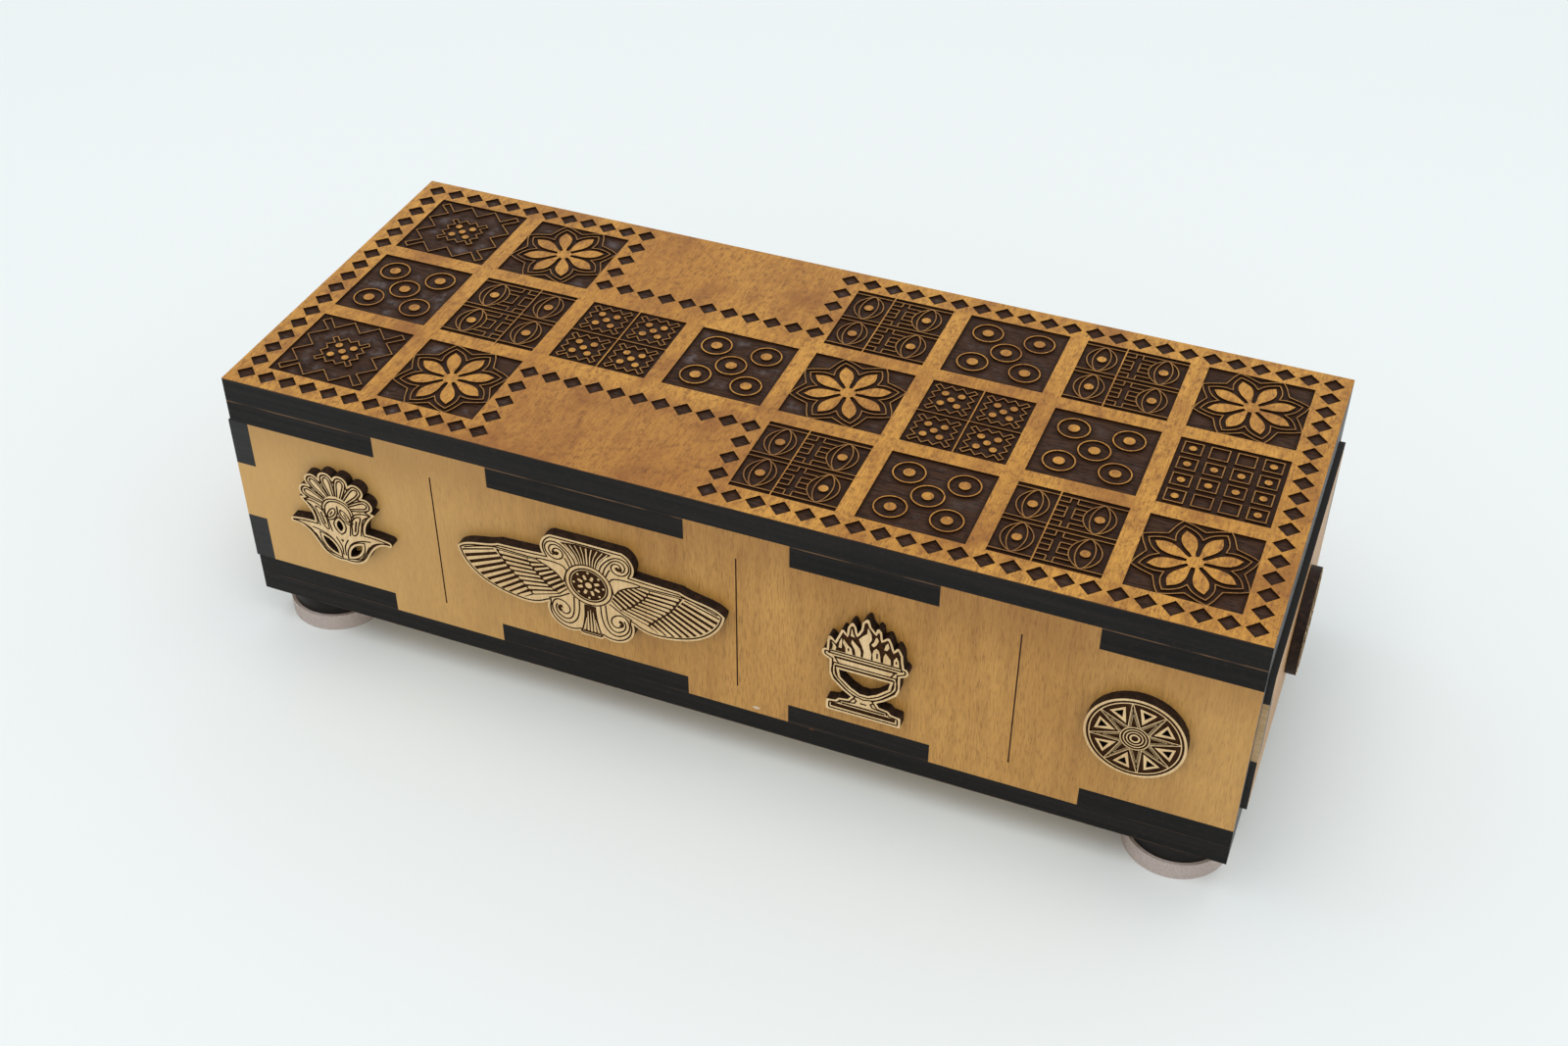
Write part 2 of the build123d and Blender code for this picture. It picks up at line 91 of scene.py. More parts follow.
# Least outline that is cut, in square millimetres, and the gap up to which two points are one
least_area = 0.001
point_gap = 0.00001

# Painted shade of the sunk floors, darkest beside the raised lines: step between marks along the lines,
# reach of the painted shade, and grid of points
mark_step = 0.2
painted_shade_reach = 2.6
floor_grid = 1.15


def column_x(column):
    """Middle of a column of squares, counted from the left end."""
    return x_left + border_x + square / 2 + column * pitch


def row_y(row):
    """Middle of a row of squares, counted from the front."""
    return y_front + border_y + square / 2 + row * pitch


def evenly(first, last, count):
    """Places from first to last, both included."""
    return [first + (last - first) * i / (count - 1) for i in range(count)]


# Plane outlines

def circle(u, v, radius, count=40):
    """Points round a circle."""
    turns = [2 * math.pi * i / count for i in range(count)]
    return [(u + radius * math.cos(a), v + radius * math.sin(a)) for a in turns]


def square_corners(half):
    """Corners of a square round the middle, anticlockwise."""
    return [(-half, -half), (half, -half), (half, half), (-half, half)]


def polar(radius, degrees):
    """The point at a distance and a turn from the middle."""
    turn = math.radians(degrees)
    return (radius * math.cos(turn), radius * math.sin(turn))


def smooth(points, steps=6):
    """A smooth open line through points."""
    points = [Vector(p) for p in points]
    ends = [2 * points[0] - points[1]] + points + [2 * points[-1] - points[-2]]
    line = []
    for before, a, b, after in zip(ends, ends[1:], ends[2:], ends[3:]):
        for i in range(steps):
            t = i / steps
            line.append(
                0.5 * (2 * a + (b - before) * t + (2 * before - 5 * a + 4 * b - after) * t * t
                       + (3 * a - 3 * b + after - before) * t * t * t)
            )
    return [tuple(p) for p in line + [points[-1]]]


def mirrored(points):
    """The same points on the other side of the upright middle line."""
    return [(-u, v) for u, v in points]


def turned(points, degrees):
    """Points turned round the middle."""
    c, s = math.cos(math.radians(degrees)), math.sin(math.radians(degrees))
    return [(c * u - s * v, s * u + c * v) for u, v in points]


def moved(points, du, dv):
    """Points moved by a step."""
    return [(u + du, v + dv) for u, v in points]


def area(points):
    """Signed area of an outline."""
    return sum(a[0] * b[1] - b[0] * a[1] for a, b in zip(points, points[1:] + points[:1])) / 2


def nearest(spot, a, b):
    """The point of a straight side that is nearest to a spot."""
    side = b - a
    share = (spot - a).dot(side) / side.length_squared
    return a + side * min(1.0, max(0.0, share))


def holds(outline, spot):
    """Whether a spot lies inside an outline."""
    inside = False
    for a, b in zip(outline, outline[1:] + outline[:1]):
        if (a[1] > spot[1]) != (b[1] > spot[1]):
            if spot[0] < a[0] + (b[0] - a[0]) * (spot[1] - a[1]) / (b[1] - a[1]):
                inside = not inside
    return inside


class Plate:
    """A flat cut-out. Outlines are laid over each other, and the last one over a spot gives its kind."""

    def __init__(self):
        self.points = []
        self.faces = []
        self.kinds = []
        self.shift = (0, 0)

    def lay(self, outline, kind):
        """Lays a closed outline of a kind: top, line (a scorched top), sunk or hole.
        One that is too small to cut is left out."""
        if abs(area(outline)) < least_area:
            return
        if area(outline) < 0:
            outline = outline[::-1]
        start = len(self.points)
        self.points += [Vector((u + self.shift[0], v + self.shift[1])) for u, v in outline]
        self.faces.append(list(range(start, len(self.points))))
        self.kinds.append(kind)

    def stroke(self, line, width, kind="top", closed=False):
        """Lays a ribbon along a line, with mitred joints."""
        line = [Vector(p) for p in line]
        count = len(line)
        sides = []
        for i, p in enumerate(line):
            before = line[i - 1] if i or closed else None
            after = line[(i + 1) % count] if i < count - 1 or closed else None
            ways = []
            if before is not None:
                ways.append((p - before).normalized())
            if after is not None:
                ways.append((after - p).normalized())
            way = sum(ways, Vector((0, 0))).normalized()
            out = Vector((-way.y, way.x)) * width / 2
            reach = 1 / max(0.5, abs(way.dot(ways[0])))
            sides.append((p + out * reach, p - out * reach))
        for (a, b), (c, d) in zip(sides, sides[1:] + (sides[:1] if closed else [])):
            self.lay([tuple(q) for q in (a, b, d)], kind)
            self.lay([tuple(q) for q in (a, d, c)], kind)

    def first_outline(self):
        """The outline that was laid first, which is the plate's own edge."""
        return [tuple(self.points[i]) for i in self.faces[0]]

    def sow(self, half, step):
        """Adds free points over a square, a little off a grid, so that painted shade can change over its
        floor.
        """
        count = int(2 * half / step)
        for i in range(1, count):
            for j in range(1, count):
                wobble = 0.3 * step * math.sin(i * 12.9 + j * 78.2)
                spot = (i * step - half + wobble + self.shift[0], j * step - half - wobble + self.shift[1])
                self.points.append(Vector(spot))

    def cut(self):
        """Points, and the triangles outside the holes with their kinds. Where the triangulation spills out
        of an outline, the outline itself tells which triangles it holds."""
        points, _, triangles, _, _, laid = delaunay_2d_cdt(self.points, [], self.faces, 1, point_gap)
        covered = [0.0] * len(self.faces)
        for triangle, under in zip(triangles, laid):
            a, b, c = (points[i] for i in triangle)
            for face in under:
                covered[face] += (b - a).cross(c - a) / 2
        outlines = [[tuple(self.points[i]) for i in face] for face in self.faces]
        spilt = {i for i, outline in enumerate(outlines) if covered[i] > 1.1 * area(outline) + 0.01}
        kept = []
        for triangle, under in zip(triangles, laid):
            middle = sum((points[i] for i in triangle), Vector((0, 0))) / 3
            under = [face for face in under if face not in spilt or holds(outlines[face], middle)]
            kind = self.kinds[max(under)] if under else "hole"
            if kind != "hole":
                kept.append((tuple(triangle), kind))
        return points, kept


def relief(name, plate, place, height, depth, materials):
    """A mesh of a plate: its top, its sunk floors, its walls and its back.
    place turns a point and a height over the back into a point in space.
    materials are those of the top, the sunk floors, the cut edges and the scorched lines."""
    flat, triangles = plate.cut()
    verts, faces, slots, index = [], [], [], {}
    levels = {"top": height, "line": height, "sunk": height - depth, "back": 0.0}

    def corner(i, level):
        if (i, level) not in index:
            index[i, level] = len(verts)
            verts.append(Vector(place(flat[i].x, flat[i].y, levels[level])) * mm)
        return index[i, level]

    kinds, steps = {}, []
    for triangle, kind in triangles:
        for a, b in zip(triangle, triangle[1:] + triangle[:1]):
            kinds[a, b] = kind
    for triangle, kind in triangles:
        faces.append([corner(i, kind) for i in triangle])
        slots.append({"top": 0, "sunk": 1, "line": 3}[kind])
        faces.append([corner(i, "back") for i in triangle[::-1]])
        slots.append(2)
        for a, b in zip(triangle, triangle[1:] + triangle[:1]):
            other = kinds.get((b, a))
            if other is None:
                faces.append([corner(a, kind), corner(a, "back"), corner(b, "back"), corner(b, kind)])
                slots.append(2)
            if kind == "sunk" and other in ("top", "line"):
                faces.append([corner(a, kind), corner(b, kind), corner(b, other), corner(a, other)])
                slots.append(1)
                steps.append((flat[a], flat[b]))
    mesh = bpy.data.meshes.new(name)
    mesh.from_pydata(verts, [], faces)
    mesh.polygons.foreach_set("material_index", slots)
    for material in materials:
        mesh.materials.append(material)
    # Painted shade of the sunk floors: a point is darker the nearer it lies to a step up to a raised line
    shades = [0.0] * len(verts)
    marks = KDTree(sum(int((b - a).length / mark_step) + 2 for a, b in steps))
    for a, b in steps:
        count = int((b - a).length / mark_step) + 2
        for i in range(count):
            marks.insert((*a.lerp(b, i / (count - 1)), 0), 0)
    marks.balance()
    for (i, level), k in index.items():
        if level == "sunk" and steps:
            shades[k] = min(1.0, marks.find((*flat[i], 0))[2] / painted_shade_reach)
    mesh.attributes.new("unshaded_floor", "FLOAT", "POINT").data.foreach_set("value", shades)
    mesh.update()
    piece = bpy.data.objects.new(name, mesh)
    bpy.context.scene.collection.objects.link(piece)
    return piece


# Motifs of the squares, round the middle of a square

def corners_and_middle(spread):
    """The middle and the four corners of a square, as points."""
    return [(0, 0)] + [(u, v) for u in (-spread, spread) for v in (-spread, spread)]


def lay_dots(plate, middles, radius):
    for u, v in middles:
        plate.lay(circle(u, v, radius, 28), "top")


def lay_rings(plate):
    """Five rings, each round a dot."""
    for u, v in corners_and_middle(ring_spread):
        plate.stroke(circle(u, v, ring_r), ring_w, closed=True)
    lay_dots(plate, corners_and_middle(ring_spread), ring_dot_r)


def scallops(tip_r, high_r, low_r, notch_r):
    """A closed line round eight pointed petals, from its distance to the middle at four turns."""
    line = []
    for k in range(8):
        middle = 22.5 + 45 * k
        sweep = [(-22.5, notch_r), (-15, low_r), (-7.5, high_r), (0, tip_r)]
        rise = [polar(radius, middle + turn) for turn, radius in sweep]
        fall = [polar(radius, middle - turn) for turn, radius in reversed(sweep)]
        line += smooth(rise)[:-1] + smooth(fall)[:-1]
    return line


def lay_rosette(plate):
    """Eight petals round a hub, in two pointed outlines."""
    plate.stroke(scallops(15.4, 14.0, 12.7, 11.8), fine_w, "line", closed=True)
    plate.stroke(scallops(13.5, 12.1, 10.6, 8.7), fine_w, "line", closed=True)
    half = [(1.7, 0.3), (3.5, 0.75), (5.0, 1.35), (6.6, 1.78), (8.2, 1.85), (9.8, 1.35), (11.6, 0.0)]
    upper = smooth(half)
    petal = upper + [(u, -v) for u, v in reversed(upper[:-1])]
    for k in range(8):
        plate.lay(turned(petal, 22.5 + 45 * k), "top")
    plate.lay(circle(0, 0, hub_r), "top")


def lay_eyes(plate, way, rail_kind, rungs):
    """Four upright eyes between level rails, with a ladder on each side of an open strip beside one upright
    rail. way is 1 where that rail is left of the middle and -1 where it is right of it."""
    for v in level_rails:
        plate.stroke([(-square / 2, v), (square / 2, v)], fine_w, "line")
    rail = upright_rail * way
    plate.stroke([(rail, -square / 2), (rail, square / 2)], ring_w, rail_kind)
    for middle in eye_rows:
        for v in rungs:
            reach = rung_end + rung_bulge * v * v
            plate.stroke([(rail, middle + v), (stile_near * way, middle + v)], fine_w, "line")
            plate.stroke([(stile_far * way, middle + v), (reach * way, middle + v)], fine_w, "line")
        for low, high in stile_spans:
            for u in (stile_near, stile_far):
                plate.stroke([(u * way, middle + low), (u * way, middle + high)], fine_w, "line")
        for u in eye_columns:
            for bulge, edge in eye_arcs:
                for side in (-1, 1):
                    arc = [(u * way + side * bulge * (1 - (t / edge) ** 2) ** eye_fullness, middle + t)
                           for t in evenly(-edge, edge, 19)]
                    plate.stroke(arc, fine_w, "line")
            lay_dots(plate, [(u * way, middle)], eye_dot_r)


def stubbed_frame(points):
    """A closed zigzag line with a stub at each corner, from the points of half a side."""
    side = mirrored(points[::-1]) + points[1:]
    line = []
    for k in range(4):
        line += turned(side, -90 * k)
    return line


def lay_small_frame(plate, u, v):
    """A small zigzag frame round five dots."""
    teeth = [(0, 4.5), (1.55, 5.85), (3.1, 4.05), (4.8, 5.8)]
    plate.stroke(moved(stubbed_frame(teeth), u, v), fine_w, "line", closed=True)
    lay_dots(plate, moved(corners_and_middle(small_frame_spread), u, v), small_dot_r)


def lay_quadrants(plate):
    """A cross that parts four small frames."""
    plate.stroke([(-square / 2, 0), (square / 2, 0)], fine_w, "line")
    plate.stroke([(0, -square / 2), (0, square / 2)], ring_w)
    for u, v in quadrant_places:
        lay_small_frame(plate, u, v)


def lay_zigzags(plate):
    """A large zigzag frame round a small one."""
    teeth = [(0, 9.2), (3.9, 13.2), (7.8, 9.1), (11.2, 12.8)]
    plate.stroke(stubbed_frame(teeth), fine_w, "line", closed=True)
    lay_small_frame(plate, 0, 0)


def lay_cells(plate):
    """Sixteen framed cells, with a dot in all but the middle two of the first and last row."""
    places = evenly(-cell_reach, cell_reach, 4)
    for i, u in enumerate(places):
        for j, v in enumerate(places):
            plate.stroke(moved(square_corners(cell_half), u, v), fine_w, "line", closed=True)
            if i in (0, 3) or j in (1, 2):
                lay_dots(plate, [(u, v)], small_dot_r)


motifs = {
    "zigzags": lay_zigzags,
    "rosette": lay_rosette,
    "eyes_left_rail": lambda plate: lay_eyes(plate, 1, "top", all_rungs),
    "eyes_right_rail": lambda plate: lay_eyes(plate, -1, "line", outer_rungs),
    "rings": lay_rings,
    "quadrants": lay_quadrants,
    "cells": lay_cells,
}
outer_row = ("zigzags", "rosette", None, None, "eyes_left_rail", "rings", "eyes_left_rail", "rosette")
middle_row = ("rings", "eyes_right_rail", "quadrants", "rings", "rosette", "quadrants", "rings", "cells")


def chain_points():
    """Middles of the diamonds: round both blocks of squares, along the bridge and in the steps into it."""
    west, east = x_left + chain_inset, x_right - chain_inset
    south, north = y_front + chain_inset, y_back - chain_inset
    step_west = column_x(1) + square / 2 + chain_gap
    step_east = column_x(4) - square / 2 - chain_gap
    bridge_south = row_y(0) + square / 2 - chain_gap
    bridge_north = row_y(2) - square / 2 + chain_gap
    points = []
    for edge, bridge in ((south, bridge_south), (north, bridge_north)):
        points += [(x, edge) for x in evenly(west, step_west, chain_left)]
        points += [(x, edge) for x in evenly(step_east, east, chain_right)]
        points += [(x, bridge) for x in evenly(step_west, step_east, chain_bridge)]
        for x in (step_west, step_east):
            points += [(x, y) for y in evenly(edge, bridge, chain_step)[1:-1]]
    for x in (west, east):
        points += [(x, y) for y in evenly(south, north, chain_end)[1:-1]]
    return points


# Materials

# Brown lines along the burnt edges: their heights, and their half width with its blur
board_seam_z = 84.9
deck_seam_z = 77.75
floor_seam_z = 17.4
base_seam_z = 11.4
seam_from, seam_to = 0.1, 0.25

# Where the front panel pales to its ends, which is a painted reflection of the floor, and darkens to its
# top, which is painted shade with a little smoke, and how deep it is scored
sheen_middle_x = 40
sheen_from, sheen_to = 30, 175
shade_and_smoke_from, shade_and_smoke_to = 55, 77
score_top_y = 56.0
score_depth = 1.0

# Marks on the front: place along the box, height, half width and half height
glue_spot = (11.5, 19.1, 1.6, 0.6)
scuff_mark = (27.2, 16.9, 1.1, 0.4)

# Darker blank fields of the board: middle, half length and distance from the middle line, with their blur
blank_x = -32
blank_from, blank_to = 30, 44
blank_side_from, blank_side_to = 16, 24

# Changes over the whole board: from the front to the back, and from the left to the right, along which the
# painted grey sheen of the engraved floors fades
fade_y = 20
sheen_fade_left, sheen_fade_right = -40, 70

# Depths of the bumps, in metres
fibre_bump = 0.00003
mottle_bump = 0.00005
rough_bump = 0.00006
burnt_bump = 0.00008
felt_bump = 0.0004


def srgb(red, green, blue):
    """A colour written from 0 to 255, as Blender's linear colour."""
    shares = [c / 255 for c in (red, green, blue)]
    return tuple(c / 12.92 if c < 0.0405 else ((c + 0.055) / 1.055) ** 2.4 for c in shares) + (1.0,)


class Shader:
    """A material and short ways to add nodes to it."""

    def __init__(self, name, roughness=0.5, **settings):
        self.material = bpy.data.materials.new(name)
        self.material.use_nodes = True
        self.nodes = self.material.node_tree.nodes
        self.links = self.material.node_tree.links
        self.surface = self.nodes["Principled BSDF"]
        self.surface.inputs["Roughness"].default_value = roughness
        for socket, value in settings.items():
            self.surface.inputs[socket.replace("_", " ")].default_value = value
        coordinates = self.nodes.new("ShaderNodeTexCoord")
        self.place = coordinates.outputs["Object"]
        self.facing = coordinates.outputs["Normal"]

    def node(self, kind, inputs, output=0, **settings):
        node = self.nodes.new(kind)
        for name, value in settings.items():
            setattr(node, name, value)
        for socket, value in inputs.items():
            if isinstance(value, bpy.types.NodeSocket):
                self.links.new(value, node.inputs[socket])
            else:
                node.inputs[socket].default_value = value
        return node.outputs[output]

    def noise(self, scale, detail=3.0, stretch=(1, 1, 1), roughness=0.5):
        """Noise of that many waves per metre, stretched along some axes."""
        place = self.node("ShaderNodeMapping", {"Vector": self.place, "Scale": stretch})
        return self.node(
            "ShaderNodeTexNoise",
            {"Vector": place, "Scale": scale, "Detail": detail, "Roughness": roughness},
        )

    def ramp(self, share, low, high, start=0.0, end=1.0):
        """A change from start to end while share goes from low to high."""
        return self.node(
            "ShaderNodeMapRange",
            {"Value": share, "From Min": low, "From Max": high, "To Min": start, "To Max": end},
            interpolation_type="SMOOTHSTEP",
        )

    def mix(self, share, a, b, blend="MIX"):
        return self.node(
            "ShaderNodeMix", {"Factor": share, 6: a, 7: b}, output=2, data_type="RGBA", blend_type=blend
        )

    def maths(self, operation, a, b=0.0):
        return self.node("ShaderNodeMath", {0: a, 1: b}, operation=operation)

    def axis(self, vector, name):
        return self.node("ShaderNodeSeparateXYZ", {"Vector": vector}, output="XYZ".index(name))

    def color(self, value):
        self.links.new(value, self.surface.inputs["Base Color"])

    def rough(self, value):
        self.links.new(value, self.surface.inputs["Roughness"])

    def bump(self, height, distance):
        normal = self.node("ShaderNodeBump", {"Height": height, "Distance": distance, "Strength": 1.0})
        self.links.new(normal, self.surface.inputs["Normal"])


def along_grain(along, share):
    """Stretch of a noise along the grain of wood."""
    return tuple(share if name == along else 1.0 for name in "XYZ")


def wood_color(shader, along, pale, middle, dark):
    """Colour and height of fine-grained veneer: soft clouds, faint bands, fibres and short pores."""
    clouds = shader.noise(38.0, 3.0, along_grain(along, 0.4), 0.55)
    bands = shader.noise(420.0, 3.0, along_grain(along, 0.07), 0.55)
    fibres = shader.noise(2600.0, 4.0, along_grain(along, 0.09), 0.6)
    pores = shader.noise(3300.0, 1.0, along_grain(along, 0.12), 0.4)
    color = shader.mix(shader.ramp(clouds, 0.35, 0.65), middle, pale)
    color = shader.mix(shader.ramp(bands, 0.4, 0.7, 0.0, 0.22), color, dark)
    color = shader.mix(shader.ramp(fibres, 0.42, 0.7, 0.0, 0.4), color, dark)
    color = shader.mix(shader.ramp(pores, 0.58, 0.72, 0.0, 0.42), color, dark)
    return color, fibres


def burnt_color(shader, seam=None, seam_color=None):
    """Colour and height of laser-cut plywood edges: near black, with faint layers.
    seam is the height of a worn brown line."""
    layers = shader.noise(700.0, 2.0, (0.02, 0.02, 1.0), 0.5)
    soot = shader.noise(900.0, 4.0, (1, 1, 1), 0.6)
    color = shader.mix(shader.ramp(layers, 0.35, 0.7), srgb(17, 16, 15), srgb(30, 26, 24))
    color = shader.mix(shader.ramp(soot, 0.5, 0.8, 0.0, 0.6), color, srgb(44, 36, 31))
    if seam is not None:
        off = shader.maths("ABSOLUTE", shader.maths("SUBTRACT", shader.axis(shader.place, "Z"), seam * mm))
        worn = shader.ramp(shader.noise(70.0, 3.0), 0.38, 0.6, 0.08, 0.6)
        line = shader.maths("MULTIPLY", shader.ramp(off, seam_from * mm, seam_to * mm, 1.0, 0.0), worn)
        color = shader.mix(line, color, seam_color)
    return color, layers


def blot(shader, x, z, wide, high):
    """Share of a small uneven mark on the front side."""
    across = shader.maths("SUBTRACT", shader.axis(shader.place, "X"), x * mm)
    up = shader.maths("SUBTRACT", shader.axis(shader.place, "Z"), z * mm)
    across, up = shader.maths("DIVIDE", across, wide * mm), shader.maths("DIVIDE", up, high * mm)
    reach = shader.maths("ADD", shader.maths("MULTIPLY", across, across), shader.maths("MULTIPLY", up, up))
    reach = shader.maths("ADD", reach, shader.noise(1400.0, 3.0))
    front = shader.maths("LESS_THAN", shader.axis(shader.place, "Y"), 0.0)
    return shader.maths("MULTIPLY", shader.ramp(reach, 0.7, 1.3, 0.8, 0.0), front)


def ply_material(
    name, face, along, tones, gloss=0.3, seam=None, seam_color=srgb(140, 104, 72),
    score_face=None, ends=None, scuff=False,
):
    """Plywood whose broad faces look along one axis, with burnt cut edges. tones are pale, middle and dark.
    Down to score_depth below score_face, scored lines are brown. ends is a paler tone towards the ends,
    a painted reflection of the floor, which comes with painted shade and a little smoke along the top
    and a spot of glue."""
    shader = Shader(name, 0.42, Specular_IOR_Level=gloss)
    wood, fibres = wood_color(shader, along, *tones)
    if ends is not None:
        # Painted reflection of the floor: paler towards both ends, away from the middle x
        off = shader.maths("ABSOLUTE", shader.maths("SUBTRACT", shader.axis(shader.place, "X"), sheen_middle_x * mm))
        wood = shader.mix(shader.ramp(off, sheen_from * mm, sheen_to * mm, 0.0, 0.7), wood, ends)
        # Painted shade with a little smoke: darker towards the top edge of the panel
        smoke = shader.ramp(shader.axis(shader.place, "Z"), shade_and_smoke_from * mm, shade_and_smoke_to * mm, 0.0, 0.35)
        wood = shader.mix(smoke, wood, tones[-1])
        wood = shader.mix(blot(shader, *glue_spot), wood, srgb(222, 208, 184))
    burnt, layers = burnt_color(shader, seam, seam_color)
    broad = shader.ramp(shader.maths("ABSOLUTE", shader.axis(shader.facing, face)), 0.6, 0.8)
    if score_face is not None:
        depth = shader.maths("ABSOLUTE", shader.axis(shader.place, face))
        below = shader.maths("LESS_THAN", depth, score_face * mm)
        near = shader.maths("GREATER_THAN", depth, (score_face - score_depth) * mm)
        wood = shader.mix(shader.maths("MULTIPLY", below, near), wood, srgb(84, 48, 20))
    if scuff:
        burnt = shader.mix(blot(shader, *scuff_mark), burnt, srgb(98, 52, 36))
    shader.color(shader.mix(broad, burnt, wood))
    shader.rough(shader.ramp(fibres, 0.3, 0.8, 0.34, 0.46))
    shader.bump(shader.mix(broad, layers, fibres), fibre_bump)
    return shader.material


panel_tones = (srgb(204, 152, 80), srgb(187, 135, 66), srgb(125, 79, 34))
inside_tones = (srgb(222, 194, 150), srgb(205, 172, 124), srgb(160, 122, 78))
ornament_tones = (srgb(238, 207, 158), srgb(226, 191, 138), srgb(178, 136, 88))
piece_tones = (srgb(92, 58, 36), srgb(72, 44, 28), srgb(44, 26, 18))
# Paler tone of the front's ends: a painted reflection of the floor
end_sheen_tone = srgb(214, 170, 104)
low_seam = srgb(82, 62, 46)

front_ply = ply_material("birch_panel", "Y", "Z", panel_tones, score_face=score_top_y, ends=end_sheen_tone)
end_ply = ply_material("birch_end", "X", "Z", panel_tones)
drawer_x_ply = ply_material("birch_drawer_x", "X", "Z", inside_tones)
drawer_y_ply = ply_material("birch_drawer_y", "Y", "X", inside_tones)
drawer_z_ply = ply_material("birch_drawer_z", "Z", "X", inside_tones)
deck_ply = ply_material("birch_deck", "Z", "X", inside_tones, 0.12, deck_seam_z)
floor_ply = ply_material("birch_floor", "Z", "X", inside_tones, 0.12, floor_seam_z, low_seam)
base_ply = ply_material("birch_base", "Z", "X", inside_tones, 0.12, base_seam_z, low_seam, scuff=True)


def plain_wood(name, along, tones, roughness, specular=0.5):
    """Wood without burnt edges."""
    shader = Shader(name, roughness, Specular_IOR_Level=specular)
    color, fibres = wood_color(shader, along, *tones)
    shader.color(color)
    shader.bump(fibres, fibre_bump)
    return shader.material


def board_material(name, scorch=0.0):
    """Stained birch: honey to amber, mottled, with short dark flecks. scorch is a share of brown on top."""
    shader = Shader(name, 0.4, Specular_IOR_Level=0.3)
    color, fibres = wood_color(shader, "Y", srgb(210, 153, 66), srgb(196, 138, 54), srgb(118, 68, 24))
    clouds = shader.noise(60.0, 4.0, (1, 0.7, 1), 0.65)
    color = shader.mix(shader.ramp(clouds, 0.42, 0.72, 0.0, 0.75), color, srgb(142, 88, 34))
    east = shader.axis(shader.place, "X")
    side = shader.maths("ABSOLUTE", shader.axis(shader.place, "Y"))
    off = shader.maths("ABSOLUTE", shader.maths("ADD", east, -blank_x * mm))
    field = shader.ramp(off, blank_from * mm, blank_to * mm, 1.0, 0.0)
    field = shader.maths("MULTIPLY", field, shader.ramp(side, blank_side_from * mm, blank_side_to * mm))
    to_back = shader.ramp(shader.axis(shader.place, "Y"), -fade_y * mm, fade_y * mm, 0.45, 0.2)
    field = shader.maths("MULTIPLY", field, to_back)
    color = shader.mix(field, color, srgb(136, 80, 34))
    mottle = shader.noise(560.0, 5.0, (1, 0.8, 1), 0.72)
    color = shader.mix(shader.ramp(mottle, 0.46, 0.7, 0.0, 0.7), color, srgb(126, 76, 30))
    flecks = shader.noise(1500.0, 2.0, (1, 0.35, 1), 0.6)
    color = shader.mix(shader.ramp(flecks, 0.57, 0.72, 0.0, 0.55), color, srgb(92, 52, 20))
    if scorch:
        color = shader.mix(scorch, color, srgb(96, 66, 40))
    shader.color(color)
    shader.rough(shader.ramp(fibres, 0.3, 0.8, 0.36, 0.5))
    shader.bump(shader.mix(0.4, fibres, mottle), mottle_bump)
    return shader.material


def engraved_material():
    """Engraved floors: brown, with painted shade beside the raised lines and a painted grey sheen in the
    open, more so to the left end.
    """
    shader = Shader("engraved_floor", 0.6, Specular_IOR_Level=0.12)
    unshaded_floor = shader.node("ShaderNodeAttribute", {}, output="Fac", attribute_name="unshaded_floor")
    streaks = shader.noise(1500.0, 4.0, (0.12, 1, 1), 0.65)
    sheen_patches = shader.noise(240.0, 4.0, (1, 1, 1), 0.65)
    # Painted shade: darker brown beside the raised lines, lighter out in the open
    color = shader.mix(shader.ramp(unshaded_floor, 0.06, 0.55), srgb(48, 26, 10), srgb(64, 41, 26))
    color = shader.mix(shader.ramp(streaks, 0.45, 0.62, 0.0, 0.9), color, srgb(30, 16, 8))
    in_open = shader.ramp(unshaded_floor, 0.3, 0.9, 0.1, 1.0)
    # Painted sheen of the charring: grey patches out in the open, stronger towards the left end
    grey_sheen = shader.maths("MULTIPLY", shader.ramp(sheen_patches, 0.46, 0.7), in_open)
    west = shader.ramp(shader.axis(shader.place, "X"), sheen_fade_left * mm, sheen_fade_right * mm, 0.8, 0.2)
    color = shader.mix(shader.maths("MULTIPLY", grey_sheen, west), color, srgb(96, 87, 87))
    shader.color(color)
    shader.bump(streaks, rough_bump)
    return shader.material


def burnt_material(name, seam=None):
    """Burnt edges all over, with a brown line at the height of a seam."""
    shader = Shader(name, 0.45, Specular_IOR_Level=0.15)
    color, layers = burnt_color(shader, seam, srgb(92, 62, 38))
    shader.color(color)
    shader.bump(layers, burnt_bump)
    return shader.material


board_top_material = board_material("stained_board")
board_line_material = board_material("scorched_lines", 0.5)
engraved_floor_material = engraved_material()
burnt_edge_material = burnt_material("burnt_edge")
board_edge_material = burnt_material("board_edge", board_seam_z)


# The engraved board

def make_board():
    plate = Plate()
    plate.lay([(x_left, y_front), (x_right, y_front), (x_right, y_back), (x_left, y_back)], "top")
    for row, names in enumerate((outer_row, middle_row, outer_row)):
        for column, name in enumerate(names):
            if name:
                plate.shift = (column_x(column), row_y(row))
                plate.lay(square_corners(square / 2), "sunk")
                motifs[name](plate)
                plate.sow(square / 2, floor_grid)
    plate.shift = (0, 0)
    for u, v in chain_points():
        plate.lay([(u + diamond_r, v), (u, v + diamond_r), (u - diamond_r, v), (u, v - diamond_r)], "sunk")
        plate.points.append(Vector((u, v)))
    board = relief(
        "engraved_board", plate, lambda u, v, w: (u, v, z_board + w), z_top - z_board, engraving_depth,
        [board_top_material, engraved_floor_material, board_edge_material, board_line_material],
    )
    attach(board, "case")
    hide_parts("board_top")


make_board()


# Ornaments, as in the solids
z_field = 23.5
z_pull = 47.25
x_face = 139.7
ornament_t = 2.9
star_r = 12.7
pull_r = 14.4

